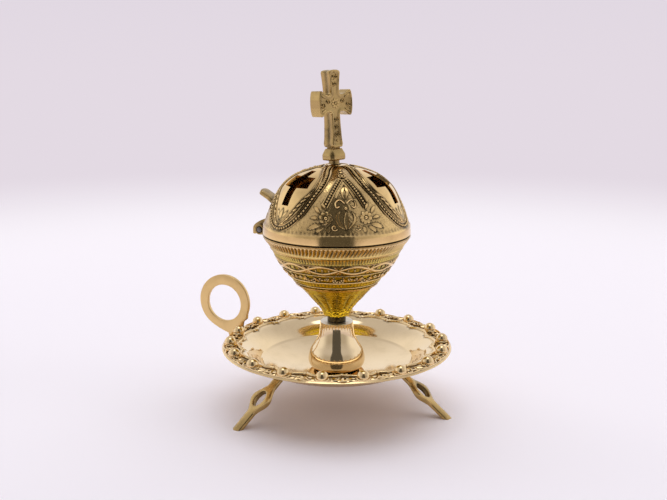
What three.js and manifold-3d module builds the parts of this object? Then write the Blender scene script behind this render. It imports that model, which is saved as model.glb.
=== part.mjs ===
// Brass home censer: a dish on three cast legs with a beaded rim and a finger
// ring, a bell pedestal, and a bowl whose pierced domed lid turns on a hinge
// and carries a cross. Millimetres, +Z up, standing on the plane z = 0.
//
// Most pieces are drawn in a radial frame, x outward from the censer's axis and
// z up, and are then turned about the axis to where they belong. Angles are in
// degrees from +X, counter-clockwise from above. The hinge, the thumb lever
// and the finger ring all lie toward -X.

import * as THREE from 'three';
import { mergeVertices } from 'three/addons/utils/BufferGeometryUtils.js';
import Module from 'manifold-3d';

const wasm = await Module();
wasm.setup();

// Fits
const seatGap = 0.3; // left between pieces that are brazed or screwed together
const runningGap = 0.3; // left between hinge parts that turn on each other

// Dish
const dishRadius = 57;
const dishWall = 1.8;
const dishRimHeight = 32; // top of the flat rim above the table
const dishRimWidth = 10.5;
const dishFloorHeight = 18.79; // top of the floor at its centre
const dishSideWidth = 8.5; // from the floor's edge to the rim's inner edge
const dishFloorRise = 6.2; // how much higher the floor is at its edge
const beadCount = 18;
const beadRadius = 2.7;
const beadInset = 4; // from the dish's edge to a bead's centre
const beadSink = 0.7; // depth of a bead in the rim
const firstBeadAngle = 5.3;

// Legs
const legAngles = { leg_right: 3, leg_back: 120, leg_front: 237 };
const legSplay = 2.3; // of a foot's outer face past the dish's edge
const legSlope = 41.5;
const legThickness = 2.8;
const legWidth = 5.4;
const legBevel = 0.6;
const legEyeCentre = 19.2; // up the slope from the table
const legEyeWidth = 12.6;
const legEyeLength = 16;
const legHoleWidth = 6.6;
const legHoleLength = 8.4;

// Finger ring
const ringOuterRadius = 14.4;
const ringBoreRadius = 9.7;
const ringBoreDrop = 0.6; // of the bore's centre below the ring's
const ringReach = 6.3; // from the dish's edge to the ring's centre
const ringRise = 14.9; // from the dish's rim to the ring's centre
const ringThickness = 2.2;
const ringFlankAngle = 190; // where the ring's arc ends, over the dish
const ringFlankInset = 1.2; // of the straight flank from the ring's outer radius
const ringStepDrop = 8.2; // of the step in the flank below the ring's centre
const ringStepWidth = 2.3;
const ringStepHeight = 1.7;
const ringStemTaper = 0.8; // of the flank from the step down to the rim
const ringTailAngle = -48; // where the ring's arc ends, away from the dish
const ringTailBend = 4.8;
const ringTailReach = 4.2; // of the plate's foot past the dish's edge
const gussetDepth = 5.2; // of the tail brazed under the rim
const gussetEndDepth = 1.1;
const gussetReach = 17; // of the tail inward from the dish's edge

// Pedestal
const pedestalHeight = 24.2;
const pedestalRadius = 14.2;
const pedestalFootShare = 0.79; // of its foot's radius in that
const pedestalWall = 1.8;
const pedestalTopWall = 2.6;

// Bowl
const bowlRadius = 36;
const bowlHeight = 40.85;
const bowlWall = 2.2;
const bowlFloorShare = 0.28; // height of the solid base in the bowl's height
const bowlFloorFlat = 0.55; // nearly level share of the hollow's floor
const bowlFloorDip = 0.7; // of the level part below the hollow's side
const neckHeight = 3.3; // from the pedestal up to the bowl
const neckRadius = 4.6; // above the pedestal; the spigot below it is thinner
const spigotRadius = 3.6;
const spigotDepth = 1.9; // inside the pedestal

// Tie screw, from under the dish through the pedestal into the bowl
const screwRadius = 2.5;
const screwGrip = 6; // thread taken up in the bowl above its underside
const screwHeadRadius = 4.5;
const screwHeadHeight = 3.2;
const screwSlotWidth = 1.2;
const screwSlotDepth = 1.4;
const washerRadius = 5.6;
const washerThickness = 1.2;

// Lid
const lidBandHeight = 4.3;
const lidBandProud = 0.8; // the plain band stands out from the dome
const lidBandEdge = 0.5; // bevel of its edges
const lidWall = 2;
const domeRise = 29;
const ventAngles = [0, 120, 240];
const ventTop = 13.8; // all four are distances down the dome from its top
const ventBarTop = 19.8;
const ventBarBottom = 27.8;
const ventBottom = 37.2;
const ventBarWidth = 18;
const ventUprightWidth = 5;
const ventTopTaper = 0.7; // width of the upright's top in its width
const ventBarTaper = 0.84; // width of the bar's top in its width
const ventSlant = 0.3; // of the bar's long edges
const ventCutReach = 2.5; // of the cutter past each side of the wall
const ventFacet = 4.2; // longest side of the cutter's outline

// Hinge
const hingeReach = 4.2; // from the bowl's rim out to the pin
const hingeDrop = 0.5; // from the bowl's rim down to the pin
const pinRadius = 1.3;
const pinOverhang = 0.6; // of the pin past each ear
const earThickness = 2.2;
const earWall = 0.95; // round the pin
const earRoot = 0.4; // rise of the ears' underside toward the bowl
const lugWebThickness = 1;
const lugWebDrop = 2.2; // from the pin to the web's lower edge
const clawWidth = 3.4;
const clawReach = 4.8; // from the pin to the claw's outer edge
const clawTabDrop = 2.7; // from the pin to the tip of the claw
const clawTip = 1.5; // thickness of the claw's tip
const clawRoot = 7.4; // from the pin up to the top of the claw at the dome
const clawBrow = 5.2; // from the pin up to where the claw turns down
const clawBend = 2.7; // from the pin up to the bend's corner
const clawMouth = -35; // where the claw's inside leaves the pin's boss
const clawLift = 1.2; // of the claw's underside above the lid's lower edge

// Thumb lever
const leverWidth = 7.6;
const leverThickness = 1.8;
const leverLength = 9.6; // outside the dome
const leverSlope = 29;
const leverHeight = 10.2; // of its root above the lid's band
const leverEdge = 0.36; // bevel
const leverRounding = 0.7; // length of the rounded end in half the width

// Finial
const studRadius = 1.9;
const stemRadius = 2.4;
const stemHeight = 2.1;
const collarWidth = 10;
const collarDepth = 8.8;
const collarHeight = 4.7;
const collarCorner = 1.7;
const collarShoulder = 0.9;
const collarShoulderWidth = 1.2;
const finialNeckHeight = 1.5;
const crossHeight = 36.4;
const crossSpan = 20.6;
const crossArmHeight = 20.7; // of the arms' centre line above the cross's foot
const crossThickness = 5.6;
const crossBar = 5.2; // width of the upright where the arms meet it
const crossTopWidth = 6.8;
const crossFootWidth = 6.4;
const crossArmWidth = 7.4; // height of an arm where it meets the upright
const crossArmFlare = 12.4; // height of an arm at its end
const crossArmNeck = 1.5; // of each arm, level beside the upright
const crossCorner = 1.2; // rounding of the arms' corners
const crossSwell = 0.16; // share by which it is thicker at its top and foot
const crossBevel = 0.6;
const crossNeckShare = 0.72; // width of the neck in the cross's foot
const crossTurn = 64; // from facing -Y
const finialWasherRadius = 4.6;
const finialWasherThickness = 1;
const finialNutWidth = 7; // across flats
const finialNutHeight = 3;
const studTail = 1.2; // thread past the nut

// Facets
const dishSides = 60;
const vesselSides = 44;
const pedestalSides = 28;
const smallSides = 16;

// Heights and radii that follow
const deg = THREE.MathUtils.degToRad;
const rimInnerRadius = dishRadius - dishRimWidth;
const dishFloorRadius = rimInnerRadius - dishSideWidth;
const beadCircleRadius = dishRadius - beadInset;
const legFootRadius = dishRadius + legSplay;
const dishFloorTop = (radius) => dishFloorHeight + dishFloorRise * (radius / dishFloorRadius) ** 2;
const pedestalFootRadius = pedestalRadius * pedestalFootShare;
const pedestalBottom = dishFloorTop(pedestalFootRadius) + seatGap;
const pedestalTop = pedestalBottom + pedestalHeight;
const bowlBottom = pedestalTop + neckHeight;
const bowlRim = bowlBottom + bowlHeight;
const lidBottom = bowlRim + seatGap;
const bandTop = lidBottom + lidBandHeight;
const domeRadius = bowlRadius - lidBandProud;
const domeTop = bandTop + domeRise;
const collarBottom = domeTop + stemHeight;
const crossBottom = collarBottom + collarHeight + finialNeckHeight;
const pinX = bowlRadius + hingeReach;
const pinZ = bowlRim - hingeDrop;
const earRadius = pinRadius + runningGap + earWall;
const earInnerY = clawWidth / 2 + runningGap;
const earOuterY = earInnerY + earThickness;
const ringX = dishRadius + ringReach;
const ringZ = dishRimHeight + ringRise;

// Two-dimensional helpers

const point = (x, y) => new THREE.Vector2(x, y);

// Points on a smooth curve through [radius share, height share] pairs.
function vesselCurve(shares, radius, bottom, height) {
  return new THREE.SplineCurve(shares.map(([r, h]) => point(r * radius, bottom + h * height)));
}

// The same line moved sideways, to the left of its direction.
function offsetLine(points, distance) {
  return points.map((here, i) => {
    const before = points[Math.max(i - 1, 0)];
    const after = points[Math.min(i + 1, points.length - 1)];
    const along = after.clone().sub(before).normalize();
    return point(here.x - along.y * distance, here.y + along.x * distance);
  });
}

// The closed outline's points with no side longer than the step.
function divided(points, step) {
  const result = [];
  points.forEach((from, i) => {
    const to = points[(i + 1) % points.length];
    const parts = Math.ceil(from.distanceTo(to) / step);
    for (let k = 0; k < parts; k += 1) {
      result.push(from.clone().lerp(to, k / parts));
    }
  });
  return result;
}

// Solids

function volumeOf(positions, indices) {
  let sum = 0;
  const corner = [0, 1, 2].map(() => new THREE.Vector3());
  for (let i = 0; i < indices.length; i += 3) {
    corner.forEach((c, k) => c.fromArray(positions, indices[i + k] * 3));
    sum += corner[0].dot(corner[1].cross(corner[2]));
  }
  return sum / 6;
}

// Makes a solid of a closed geometry, with its faces pointing out.
function solid(geometry) {
  const bare = new THREE.BufferGeometry();
  bare.setAttribute('position', geometry.getAttribute('position').clone());
  if (geometry.index) {
    bare.setIndex(geometry.index.clone());
  }
  const merged = mergeVertices(bare, 1e-4);
  const positions = merged.getAttribute('position').array;
  const source = merged.index.array;
  const triangles = [];
  for (let i = 0; i < source.length; i += 3) {
    const [a, b, c] = [source[i], source[i + 1], source[i + 2]];
    if (a !== b && b !== c && c !== a) {
      triangles.push([a, b, c]);
    }
  }
  const outward = volumeOf(positions, triangles.flat()) > 0;
  const triVerts = triangles.flatMap(([a, b, c]) => (outward ? [a, b, c] : [a, c, b]));
  return new wasm.Manifold(new wasm.Mesh({
    numProp: 3,
    vertProperties: new Float32Array(positions),
    triVerts: new Uint32Array(triVerts),
  }));
}

// A solid turned from a closed outline of points (radius, height).
function turned(outline, sides) {
  const closed = [...outline, outline[0]];
  return solid(new THREE.LatheGeometry(closed, sides).rotateX(Math.PI / 2));
}

// A plate cut from a shape of (outward, up), with its thickness along Y.
function uprightPlate(shape, thickness, bevel = 0) {
  const geometry = new THREE.ExtrudeGeometry(shape, {
    depth: thickness - 2 * bevel,
    bevelEnabled: bevel > 0,
    bevelThickness: bevel,
    bevelSize: bevel,
    bevelOffset: -bevel,
    bevelSegments: 1,
    curveSegments: 12,
  });
  geometry.translate(0, 0, bevel - thickness / 2);
  return geometry.rotateX(Math.PI / 2);
}

function pinSolid(radius, fromY, toY, x, z) {
  const geometry = new THREE.CylinderGeometry(radius, radius, toY - fromY, smallSides);
  return solid(geometry.translate(x, (fromY + toY) / 2, z));
}

function postSolid(radius, bottom, top, sides = smallSides) {
  return turned([point(0, bottom), point(radius, bottom), point(radius, top), point(0, top)], sides);
}

function blockSolid(size, centre) {
  return solid(new THREE.BoxGeometry(...size).translate(...centre));
}

function joined(first, ...others) {
  return others.reduce((sum, next) => sum.add(next), first);
}

// Materials

const metal = (color, roughness) => new THREE.MeshStandardMaterial({
  color, roughness, metalness: 1, flatShading: true,
});
const polishedBrass = metal(0xd9b56a, 0.12);
const chasedBrass = metal(0xb89450, 0.35);
const castBrass = metal(0xa8863f, 0.45);
const steel = metal(0x77777c, 0.4);

function piece(name, body, material, angle = 0) {
  const { vertProperties, triVerts } = body.getMesh();
  const geometry = new THREE.BufferGeometry();
  geometry.setAttribute('position', new THREE.BufferAttribute(vertProperties, 3));
  geometry.setIndex(new THREE.BufferAttribute(triVerts, 1));
  const mesh = new THREE.Mesh(geometry, material);
  mesh.name = name;
  mesh.rotation.z = deg(angle);
  return mesh;
}

// Dish

// The dish's upper surface, from the given radius out to its edge.
function dishTopLine(fromRadius) {
  const floor = [0, 0.35, 0.7].map((share) => {
    const radius = THREE.MathUtils.lerp(fromRadius, dishFloorRadius, share);
    return point(radius, dishFloorTop(radius));
  });
  const edge = dishFloorTop(dishFloorRadius);
  const side = new THREE.CubicBezierCurve(
    point(dishFloorRadius, edge),
    point(dishFloorRadius + dishSideWidth * 0.6, edge + 1.2),
    point(dishFloorRadius + dishSideWidth * 0.7, dishRimHeight),
    point(rimInnerRadius + 1.5, dishRimHeight),
  );
  return [...floor, ...side.getPoints(5), point(dishRadius - dishWall / 2, dishRimHeight)];
}

// The dish's section, made larger all round by an allowance.
function dishSection(holeRadius, allowance = 0) {
  const line = dishTopLine(holeRadius);
  const top = offsetLine(line, allowance);
  const under = offsetLine(line, -dishWall - allowance);
  const noseX = dishRadius - dishWall / 2;
  const noseZ = dishRimHeight - dishWall / 2;
  const nose = [45, 0, -45].map((angle) => point(
    noseX + (dishWall / 2 + allowance) * Math.cos(deg(angle)),
    noseZ + (dishWall / 2 + allowance) * Math.sin(deg(angle)),
  ));
  return [...top, ...nose, ...under.reverse()];
}

// Everything over the dish's underside, less a clearance, up to a height.
function aboveDishUnderside(ceiling) {
  const under = offsetLine(dishTopLine(1), -dishWall - seatGap);
  const last = under[under.length - 1];
  const edge = dishRadius + seatGap;
  return turned([
    point(0, under[0].y), ...under, point(edge, last.y), point(edge, ceiling), point(0, ceiling),
  ], dishSides);
}

function dish() {
  const plain = turned(dishSection(screwRadius + seatGap), dishSides);
  const beads = Array.from({ length: beadCount }, (_, i) => {
    const angle = deg(firstBeadAngle + (i * 360) / beadCount);
    const bead = new THREE.SphereGeometry(beadRadius, 8, 6).rotateX(Math.PI / 2).rotateZ(angle);
    return solid(bead.translate(
      beadCircleRadius * Math.cos(angle),
      beadCircleRadius * Math.sin(angle),
      dishRimHeight + beadRadius - beadSink,
    ));
  });
  return joined(plain, ...beads);
}

// Legs

// A leg lies in a sloping plane: x runs up the slope from the table, y across.
function leg() {
  const length = (dishFloorHeight + dishFloorRise) / Math.sin(deg(legSlope)) + legThickness;
  const halfWidth = (x) => {
    const off = Math.min(Math.abs(x - legEyeCentre) / (legEyeLength / 2), 1);
    return legWidth / 2 + ((legEyeWidth - legWidth) / 2) * Math.cos((off * Math.PI) / 2) ** 2;
  };
  const stations = [-legThickness * 2];
  for (let k = 0; k <= 8; k += 1) {
    stations.push(legEyeCentre + legEyeLength * (k / 8 - 0.5));
  }
  stations.push(length);
  const right = stations.map((x) => point(x, -halfWidth(x)));
  const left = stations.map((x) => point(x, halfWidth(x))).reverse();
  const shape = new THREE.Shape([...right, ...left]);
  const eye = new THREE.Path();
  eye.absellipse(legEyeCentre, 0, legHoleLength / 2, legHoleWidth / 2, 0, 2 * Math.PI);
  shape.holes.push(eye);
  const geometry = new THREE.ExtrudeGeometry(shape, {
    depth: legThickness - 2 * legBevel,
    bevelThickness: legBevel,
    bevelSize: legBevel,
    bevelOffset: -legBevel,
    bevelSegments: 1,
    curveSegments: 6,
  });
  const slope = deg(legSlope);
  const upSlope = new THREE.Vector3(-Math.cos(slope), 0, Math.sin(slope));
  const across = new THREE.Vector3(0, 1, 0);
  const inward = new THREE.Vector3().crossVectors(upSlope, across);
  const placed = new THREE.Matrix4().makeBasis(upSlope, across, inward);
  placed.setPosition(legFootRadius, 0, 0);
  geometry.translate(0, 0, legBevel).applyMatrix4(placed);
  const table = blockSolid([4 * dishRadius, 4 * dishRadius, dishRadius], [0, 0, -dishRadius / 2]);
  return solid(geometry).subtract(table).subtract(aboveDishUnderside(dishRimHeight * 2));
}

// Finger ring: a flat teardrop plate that straddles the dish's rim, with a
// tail brazed under it.
function fingerRing() {
  const flankX = ringX - ringOuterRadius + ringFlankInset;
  const stemX = flankX + ringStepWidth;
  const stepZ = ringZ - ringStepDrop;
  const rimUnder = dishRimHeight - dishWall;
  const footX = dishRadius + ringTailReach;
  const tail = deg(ringTailAngle);
  const tailX = ringX + ringOuterRadius * Math.cos(tail);
  const tailZ = ringZ + ringOuterRadius * Math.sin(tail);
  const shape = new THREE.Shape();
  shape.absarc(ringX, ringZ, ringOuterRadius, tail, deg(ringFlankAngle), false);
  shape.lineTo(flankX, stepZ);
  shape.lineTo(stemX, stepZ - ringStepHeight);
  shape.lineTo(stemX + ringStemTaper, rimUnder);
  shape.lineTo(footX, rimUnder);
  shape.quadraticCurveTo(
    tailX + ringTailBend * Math.sin(tail),
    tailZ - ringTailBend * Math.cos(tail),
    tailX,
    tailZ,
  );
  const bore = new THREE.Path();
  bore.absarc(ringX, ringZ - ringBoreDrop, ringBoreRadius, 0, 2 * Math.PI);
  shape.holes.push(bore);
  const gusset = new THREE.Shape([
    point(dishRadius - gussetReach, rimUnder),
    point(rimInnerRadius, rimUnder - gussetDepth),
    point(footX, rimUnder - gussetEndDepth),
    point(footX, rimUnder),
    point(dishRadius + seatGap, dishRimHeight),
  ]);
  const rimRoom = turned(dishSection(dishFloorRadius / 2, seatGap), dishSides);
  const upper = solid(uprightPlate(shape, ringThickness)).subtract(rimRoom);
  const lower = solid(uprightPlate(gusset, ringThickness)).subtract(aboveDishUnderside(dishRimHeight * 2));
  return upper.add(lower);
}

// Pedestal

function pedestal() {
  const shares = [[pedestalFootShare, 0], [0.94, 0.07], [1, 0.2], [0.93, 0.38], [0.77, 0.53], [0.655, 0.67],
    [0.59, 0.86], [0.575, 1]];
  const outer = vesselCurve(shares, pedestalRadius, pedestalBottom, pedestalHeight).getPoints(11);
  const shelf = pedestalTop - pedestalTopWall;
  const inner = offsetLine(outer, pedestalWall)
    .filter(({ y }) => y > pedestalBottom && y < shelf);
  const bore = spigotRadius + seatGap;
  return turned([
    ...outer,
    point(bore, pedestalTop),
    point(bore, shelf),
    point(inner[inner.length - 1].x, shelf),
    ...inner.reverse(),
    point(pedestalFootRadius - pedestalWall, pedestalBottom),
  ], pedestalSides);
}

// Bowl

const bowlShares = [[0.183, 0], [0.203, 0.043], [0.26, 0.119], [0.386, 0.2465], [0.57, 0.425],
  [0.765, 0.64], [0.91, 0.868], [0.978, 0.95], [1, 1]];

function bowlOuter(count) {
  return vesselCurve(bowlShares, bowlRadius, bowlBottom, bowlHeight).getPoints(count);
}

function bowl() {
  const outer = bowlOuter(12);
  const floor = bowlBottom + bowlFloorShare * bowlHeight;
  const inner = offsetLine(outer, bowlWall)
    .filter(({ y }, i) => y > floor + bowlWall && i < outer.length - 1)
    .reverse();
  const tapRadius = screwRadius + seatGap;
  const spigotBottom = pedestalTop - spigotDepth;
  const shoulder = pedestalTop + seatGap;
  return turned([
    point(0, bowlBottom + screwGrip + 1),
    point(tapRadius, bowlBottom + screwGrip + 1),
    point(tapRadius, spigotBottom),
    point(spigotRadius, spigotBottom),
    point(spigotRadius, shoulder),
    point(neckRadius, shoulder),
    point(neckRadius, bowlBottom),
    ...outer,
    point(bowlRadius - bowlWall, bowlRim),
    ...inner,
    point(inner[inner.length - 1].x * bowlFloorFlat, inner[inner.length - 1].y - bowlFloorDip),
    point(0, floor),
  ], vesselSides);
}

// The bowl's outside with a clearance round it, filled.
function bowlRoom() {
  const line = offsetLine(bowlOuter(12), -seatGap);
  return turned([point(0, bowlBottom), ...line, point(0, bowlRim)], vesselSides);
}

// Lid

const domeShares = [[0, 1], [0.19, 0.985], [0.37, 0.93], [0.6, 0.812], [0.765, 0.635],
  [0.88, 0.385], [0.955, 0.17], [1, 0]];
const domeCurve = vesselCurve(domeShares, domeRadius, bandTop, domeRise);

function domeLine(offset = 0) {
  return offsetLine(domeCurve.getPoints(11), offset);
}

function plainLid() {
  const hole = studRadius + seatGap;
  const outer = domeLine().filter(({ x }) => x > hole);
  const inner = offsetLine(domeLine(), -lidWall).filter(({ x }) => x > hole).reverse();
  return turned([
    point(hole, domeTop),
    ...outer,
    point(bowlRadius - lidBandEdge / 2, bandTop - lidBandProud),
    point(bowlRadius, bandTop - lidBandProud - lidBandEdge),
    point(bowlRadius, lidBottom + lidBandEdge),
    point(bowlRadius - lidBandEdge, lidBottom),
    point(domeRadius - lidWall, lidBottom),
    ...inner,
    point(hole, domeTop - lidWall),
  ], vesselSides);
}

// The lid's outside with a clearance round it, filled.
function lidRoom() {
  const band = bowlRadius + seatGap;
  return turned([
    point(0, domeTop + seatGap),
    ...domeLine(seatGap).slice(1),
    point(band, bandTop - lidBandProud + seatGap),
    point(band, lidBottom - seatGap),
    point(0, lidBottom - seatGap),
  ], vesselSides);
}

// A cross-shaped cutter bent over the dome. Its outline is drawn flat, x across
// and y down the dome from its top, and every point is then laid on the dome.
function ventCutter(angle) {
  const bar = ventBarWidth / 2;
  const upright = ventUprightWidth / 2;
  const half = [
    point(upright * ventTopTaper, ventTop),
    point(upright, ventBarTop),
    point(bar * ventBarTaper, ventBarTop + ventSlant),
    point(bar, ventBarBottom - ventSlant),
    point(upright, ventBarBottom),
    point(upright, ventBottom),
  ];
  const mirrored = half.map(({ x, y }) => point(-x, y)).reverse();
  const shape = new THREE.Shape(divided([...half, ...mirrored], ventFacet));
  const geometry = new THREE.ExtrudeGeometry(shape, { depth: 1, bevelEnabled: false });
  const positions = geometry.getAttribute('position');
  const length = domeCurve.getLength();
  for (let i = 0; i < positions.count; i += 1) {
    const along = positions.getY(i) / length;
    const on = domeCurve.getPointAt(along);
    const down = domeCurve.getTangentAt(along);
    const out = positions.getZ(i) > 0.5 ? ventCutReach : -lidWall - ventCutReach;
    const turn = deg(angle) + positions.getX(i) / on.x;
    const radius = on.x - down.y * out;
    positions.setXYZ(i, radius * Math.cos(turn), radius * Math.sin(turn), on.y + down.x * out);
  }
  return solid(geometry);
}

function lid() {
  return ventAngles.reduce((body, angle) => body.subtract(ventCutter(angle)), plainLid());
}

// Hinge

// Two ears on a short web, brazed to the bowl under its rim.
function bowlHingeLug() {
  const ear = new THREE.Shape();
  const armBottom = pinZ - earRadius;
  const armTop = bowlRim - seatGap;
  ear.moveTo(bowlRadius - bowlWall / 2, armBottom + earRoot);
  ear.lineTo(pinX, armBottom);
  ear.absarc(pinX, pinZ, earRadius, deg(-90), deg(160), false);
  ear.lineTo(bowlRadius - bowlWall / 2, armTop);
  const sides = [-1, 1].map((side) => solid(
    uprightPlate(ear, earThickness).translate(0, side * (earInnerY + earThickness / 2), 0),
  ));
  const webBottom = pinZ - lugWebDrop;
  const web = blockSolid(
    [lugWebThickness + bowlWall / 2, 2 * earInnerY + earThickness, armTop - webBottom],
    [bowlRadius + (lugWebThickness - bowlWall / 2) / 2, 0, (armTop + webBottom) / 2],
  );
  const bore = pinSolid(pinRadius + runningGap, -2 * earOuterY, 2 * earOuterY, pinX, pinZ);
  return joined(...sides, web).subtract(bore).subtract(bowlRoom());
}

// The lid's knuckle, a claw that curls over the pin and stops the lid when its
// tip comes round under the ears' web.
function lidHingeClaw() {
  const outerX = pinX + clawReach;
  const tipZ = pinZ - clawTabDrop;
  const mouth = deg(clawMouth);
  const shape = new THREE.Shape();
  shape.moveTo(domeRadius - lidWall, pinZ + clawRoot);
  shape.lineTo(pinX - clawTip, pinZ + clawBrow);
  shape.quadraticCurveTo(outerX, pinZ + clawBend, outerX, pinZ);
  shape.lineTo(outerX, tipZ);
  shape.lineTo(outerX - clawTip, tipZ);
  shape.lineTo(pinX + earRadius * Math.cos(mouth), pinZ + earRadius * Math.sin(mouth));
  shape.absarc(pinX, pinZ, earRadius, mouth, -Math.PI, true);
  shape.lineTo(pinX - earRadius, lidBottom + clawLift);
  shape.lineTo(domeRadius - lidWall, lidBottom + clawLift);
  const bore = pinSolid(pinRadius + runningGap, -clawWidth, clawWidth, pinX, pinZ);
  return solid(uprightPlate(shape, clawWidth)).subtract(bore).subtract(lidRoom());
}

function hingePin() {
  const end = earOuterY + pinOverhang;
  return pinSolid(pinRadius, -end, end, pinX, pinZ);
}

// Thumb lever

function thumbLever() {
  const half = leverWidth / 2;
  const root = half + lidWall; // hidden length, cut away by the dome
  const roundedFrom = leverLength - half * leverRounding;
  const shape = new THREE.Shape();
  shape.moveTo(-root, -half);
  shape.lineTo(roundedFrom, -half);
  shape.bezierCurveTo(leverLength, -half, leverLength, half, roundedFrom, half);
  shape.lineTo(-root, half);
  const geometry = new THREE.ExtrudeGeometry(shape, {
    depth: leverThickness - 2 * leverEdge,
    bevelThickness: leverEdge,
    bevelSize: leverEdge,
    bevelOffset: -leverEdge,
    bevelSegments: 1,
    curveSegments: 10,
  });
  const surface = domeCurve.getPoints(200).find(({ y }) => y <= bandTop + leverHeight);
  geometry.translate(0, 0, leverEdge - leverThickness);
  geometry.rotateY(-deg(leverSlope)).translate(surface.x, 0, surface.y);
  return solid(geometry).subtract(lidRoom());
}

// Tie screw and its washer

const washerTop = dishFloorHeight - dishWall - seatGap;
const screwHeadTop = washerTop - washerThickness - seatGap;

function tieScrew() {
  const headBottom = screwHeadTop - screwHeadHeight;
  const body = turned([
    point(0, headBottom),
    point(screwHeadRadius - 0.5, headBottom),
    point(screwHeadRadius, headBottom + 0.5),
    point(screwHeadRadius, screwHeadTop),
    point(screwRadius, screwHeadTop),
    point(screwRadius, bowlBottom + screwGrip - 0.6),
    point(screwRadius - 0.6, bowlBottom + screwGrip),
    point(0, bowlBottom + screwGrip),
  ], smallSides);
  const slot = blockSolid(
    [4 * screwHeadRadius, screwSlotWidth, 2 * screwSlotDepth],
    [0, 0, headBottom],
  );
  return body.subtract(slot);
}

function washer(radius, bore, top, thickness) {
  return turned([
    point(bore, top - thickness),
    point(radius, top - thickness),
    point(radius, top),
    point(bore, top),
  ], smallSides);
}

// Finial

// The cross stands in the XZ plane, facing -Y, with flared arms.
function crossBody() {
  const centreZ = crossBottom + crossArmHeight;
  const topZ = crossBottom + crossHeight;
  const end = crossSpan / 2;
  const bar = crossBar / 2;
  const arm = crossArmWidth / 2;
  const flare = crossArmFlare / 2;
  // from the upright's end, round one inner corner, to an arm's end
  const quarter = (side, zEnd, endHalf) => {
    const away = Math.sign(zEnd - centreZ);
    return [
      point(side * endHalf, zEnd),
      point(side * bar, THREE.MathUtils.lerp(centreZ, zEnd, 1 / 3)),
      point(side * bar, centreZ + away * arm),
      point(side * (bar + crossArmNeck), centreZ + away * arm),
      point(side * (bar + crossArmNeck + end) / 2, centreZ + away * (arm + (flare - arm) / 3)),
      point(side * (end - crossCorner), centreZ + away * flare),
      point(side * end, centreZ + away * (flare - crossCorner)),
    ];
  };
  const outline = [
    ...quarter(1, topZ, crossTopWidth / 2).reverse(),
    ...quarter(-1, topZ, crossTopWidth / 2),
    ...quarter(-1, crossBottom, crossFootWidth / 2).reverse(),
    ...quarter(1, crossBottom, crossFootWidth / 2),
  ];
  const geometry = uprightPlate(new THREE.Shape(outline), crossThickness, crossBevel);
  const positions = geometry.getAttribute('position');
  for (let i = 0; i < positions.count; i += 1) {
    const away = Math.abs(positions.getZ(i) - centreZ) / (crossHeight / 2);
    positions.setY(i, positions.getY(i) * (1 + crossSwell * away ** 2));
  }
  return solid(geometry);
}

function collarBody() {
  const x = collarWidth / 2;
  const y = collarDepth / 2;
  const c = collarCorner;
  const shape = new THREE.Shape([
    point(x, c - y), point(x, y - c), point(x - c, y), point(c - x, y),
    point(-x, y - c), point(-x, c - y), point(c - x, -y), point(x - c, -y),
  ]);
  const geometry = new THREE.ExtrudeGeometry(shape, {
    depth: collarHeight - 2 * collarShoulder,
    bevelThickness: collarShoulder,
    bevelSize: collarShoulderWidth,
    bevelOffset: -collarShoulderWidth,
    bevelSegments: 1,
  });
  return solid(geometry.translate(0, 0, collarBottom + collarShoulder));
}

const finialWasherTop = domeTop - lidWall - seatGap;
const finialNutTop = finialWasherTop - finialWasherThickness - seatGap;
const studBottom = finialNutTop - finialNutHeight - studTail;

function crossFinial() {
  const stud = postSolid(studRadius, studBottom, domeTop + 1);
  const stem = postSolid(stemRadius, domeTop + seatGap, collarBottom + 1);
  const neck = blockSolid(
    [crossFootWidth * crossNeckShare, crossThickness * crossNeckShare, finialNeckHeight + collarShoulder * 2],
    [0, 0, crossBottom - finialNeckHeight / 2],
  );
  return joined(crossBody(), neck, collarBody(), stem, stud);
}

function finialNut() {
  const corner = finialNutWidth / 2 / Math.cos(deg(30));
  const hex = new THREE.Shape(Array.from({ length: 6 }, (_, i) => point(
    corner * Math.cos(deg(60 * i)),
    corner * Math.sin(deg(60 * i)),
  )));
  const bore = new THREE.Path();
  bore.absarc(0, 0, studRadius + seatGap, 0, 2 * Math.PI);
  hex.holes.push(bore);
  const geometry = new THREE.ExtrudeGeometry(hex, {
    depth: finialNutHeight, bevelEnabled: false, curveSegments: 10,
  });
  return solid(geometry.translate(0, 0, finialNutTop - finialNutHeight));
}

// Assembly

const hingeSide = 180;

const stand = new THREE.Group();
stand.add(
  piece('dish', dish(), polishedBrass),
  ...Object.entries(legAngles).map(([name, angle]) => piece(name, leg(), castBrass, angle)),
  piece('finger_ring', fingerRing(), castBrass, hingeSide),
  piece('pedestal', pedestal(), polishedBrass),
  piece('tie_screw', tieScrew(), steel),
  piece('tie_washer', washer(washerRadius, screwRadius + seatGap, washerTop, washerThickness), steel),
  piece('bowl', bowl(), chasedBrass),
  piece('bowl_hinge_lug', bowlHingeLug(), castBrass, hingeSide),
  piece('hinge_pin', hingePin(), steel, hingeSide),
);

const cover = new THREE.Group();
cover.add(
  piece('lid', lid(), chasedBrass),
  piece('lid_hinge_claw', lidHingeClaw(), castBrass, hingeSide),
  piece('thumb_lever', thumbLever(), castBrass, hingeSide),
  piece('cross_finial', crossFinial(), castBrass, crossTurn),
  piece('finial_washer', washer(
    finialWasherRadius, studRadius + seatGap, finialWasherTop, finialWasherThickness,
  ), steel),
  piece('finial_nut', finialNut(), steel),
);

// The origin is on the table under the middle of the part's box, so the
// censer's axis stands a little toward +X of it.
const ringEnd = ringX + ringOuterRadius;
const footEnd = legFootRadius;

const censer = new THREE.Group();
censer.add(stand, cover);
censer.position.x = (ringEnd - footEnd) / 2;

export default censer;
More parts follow.
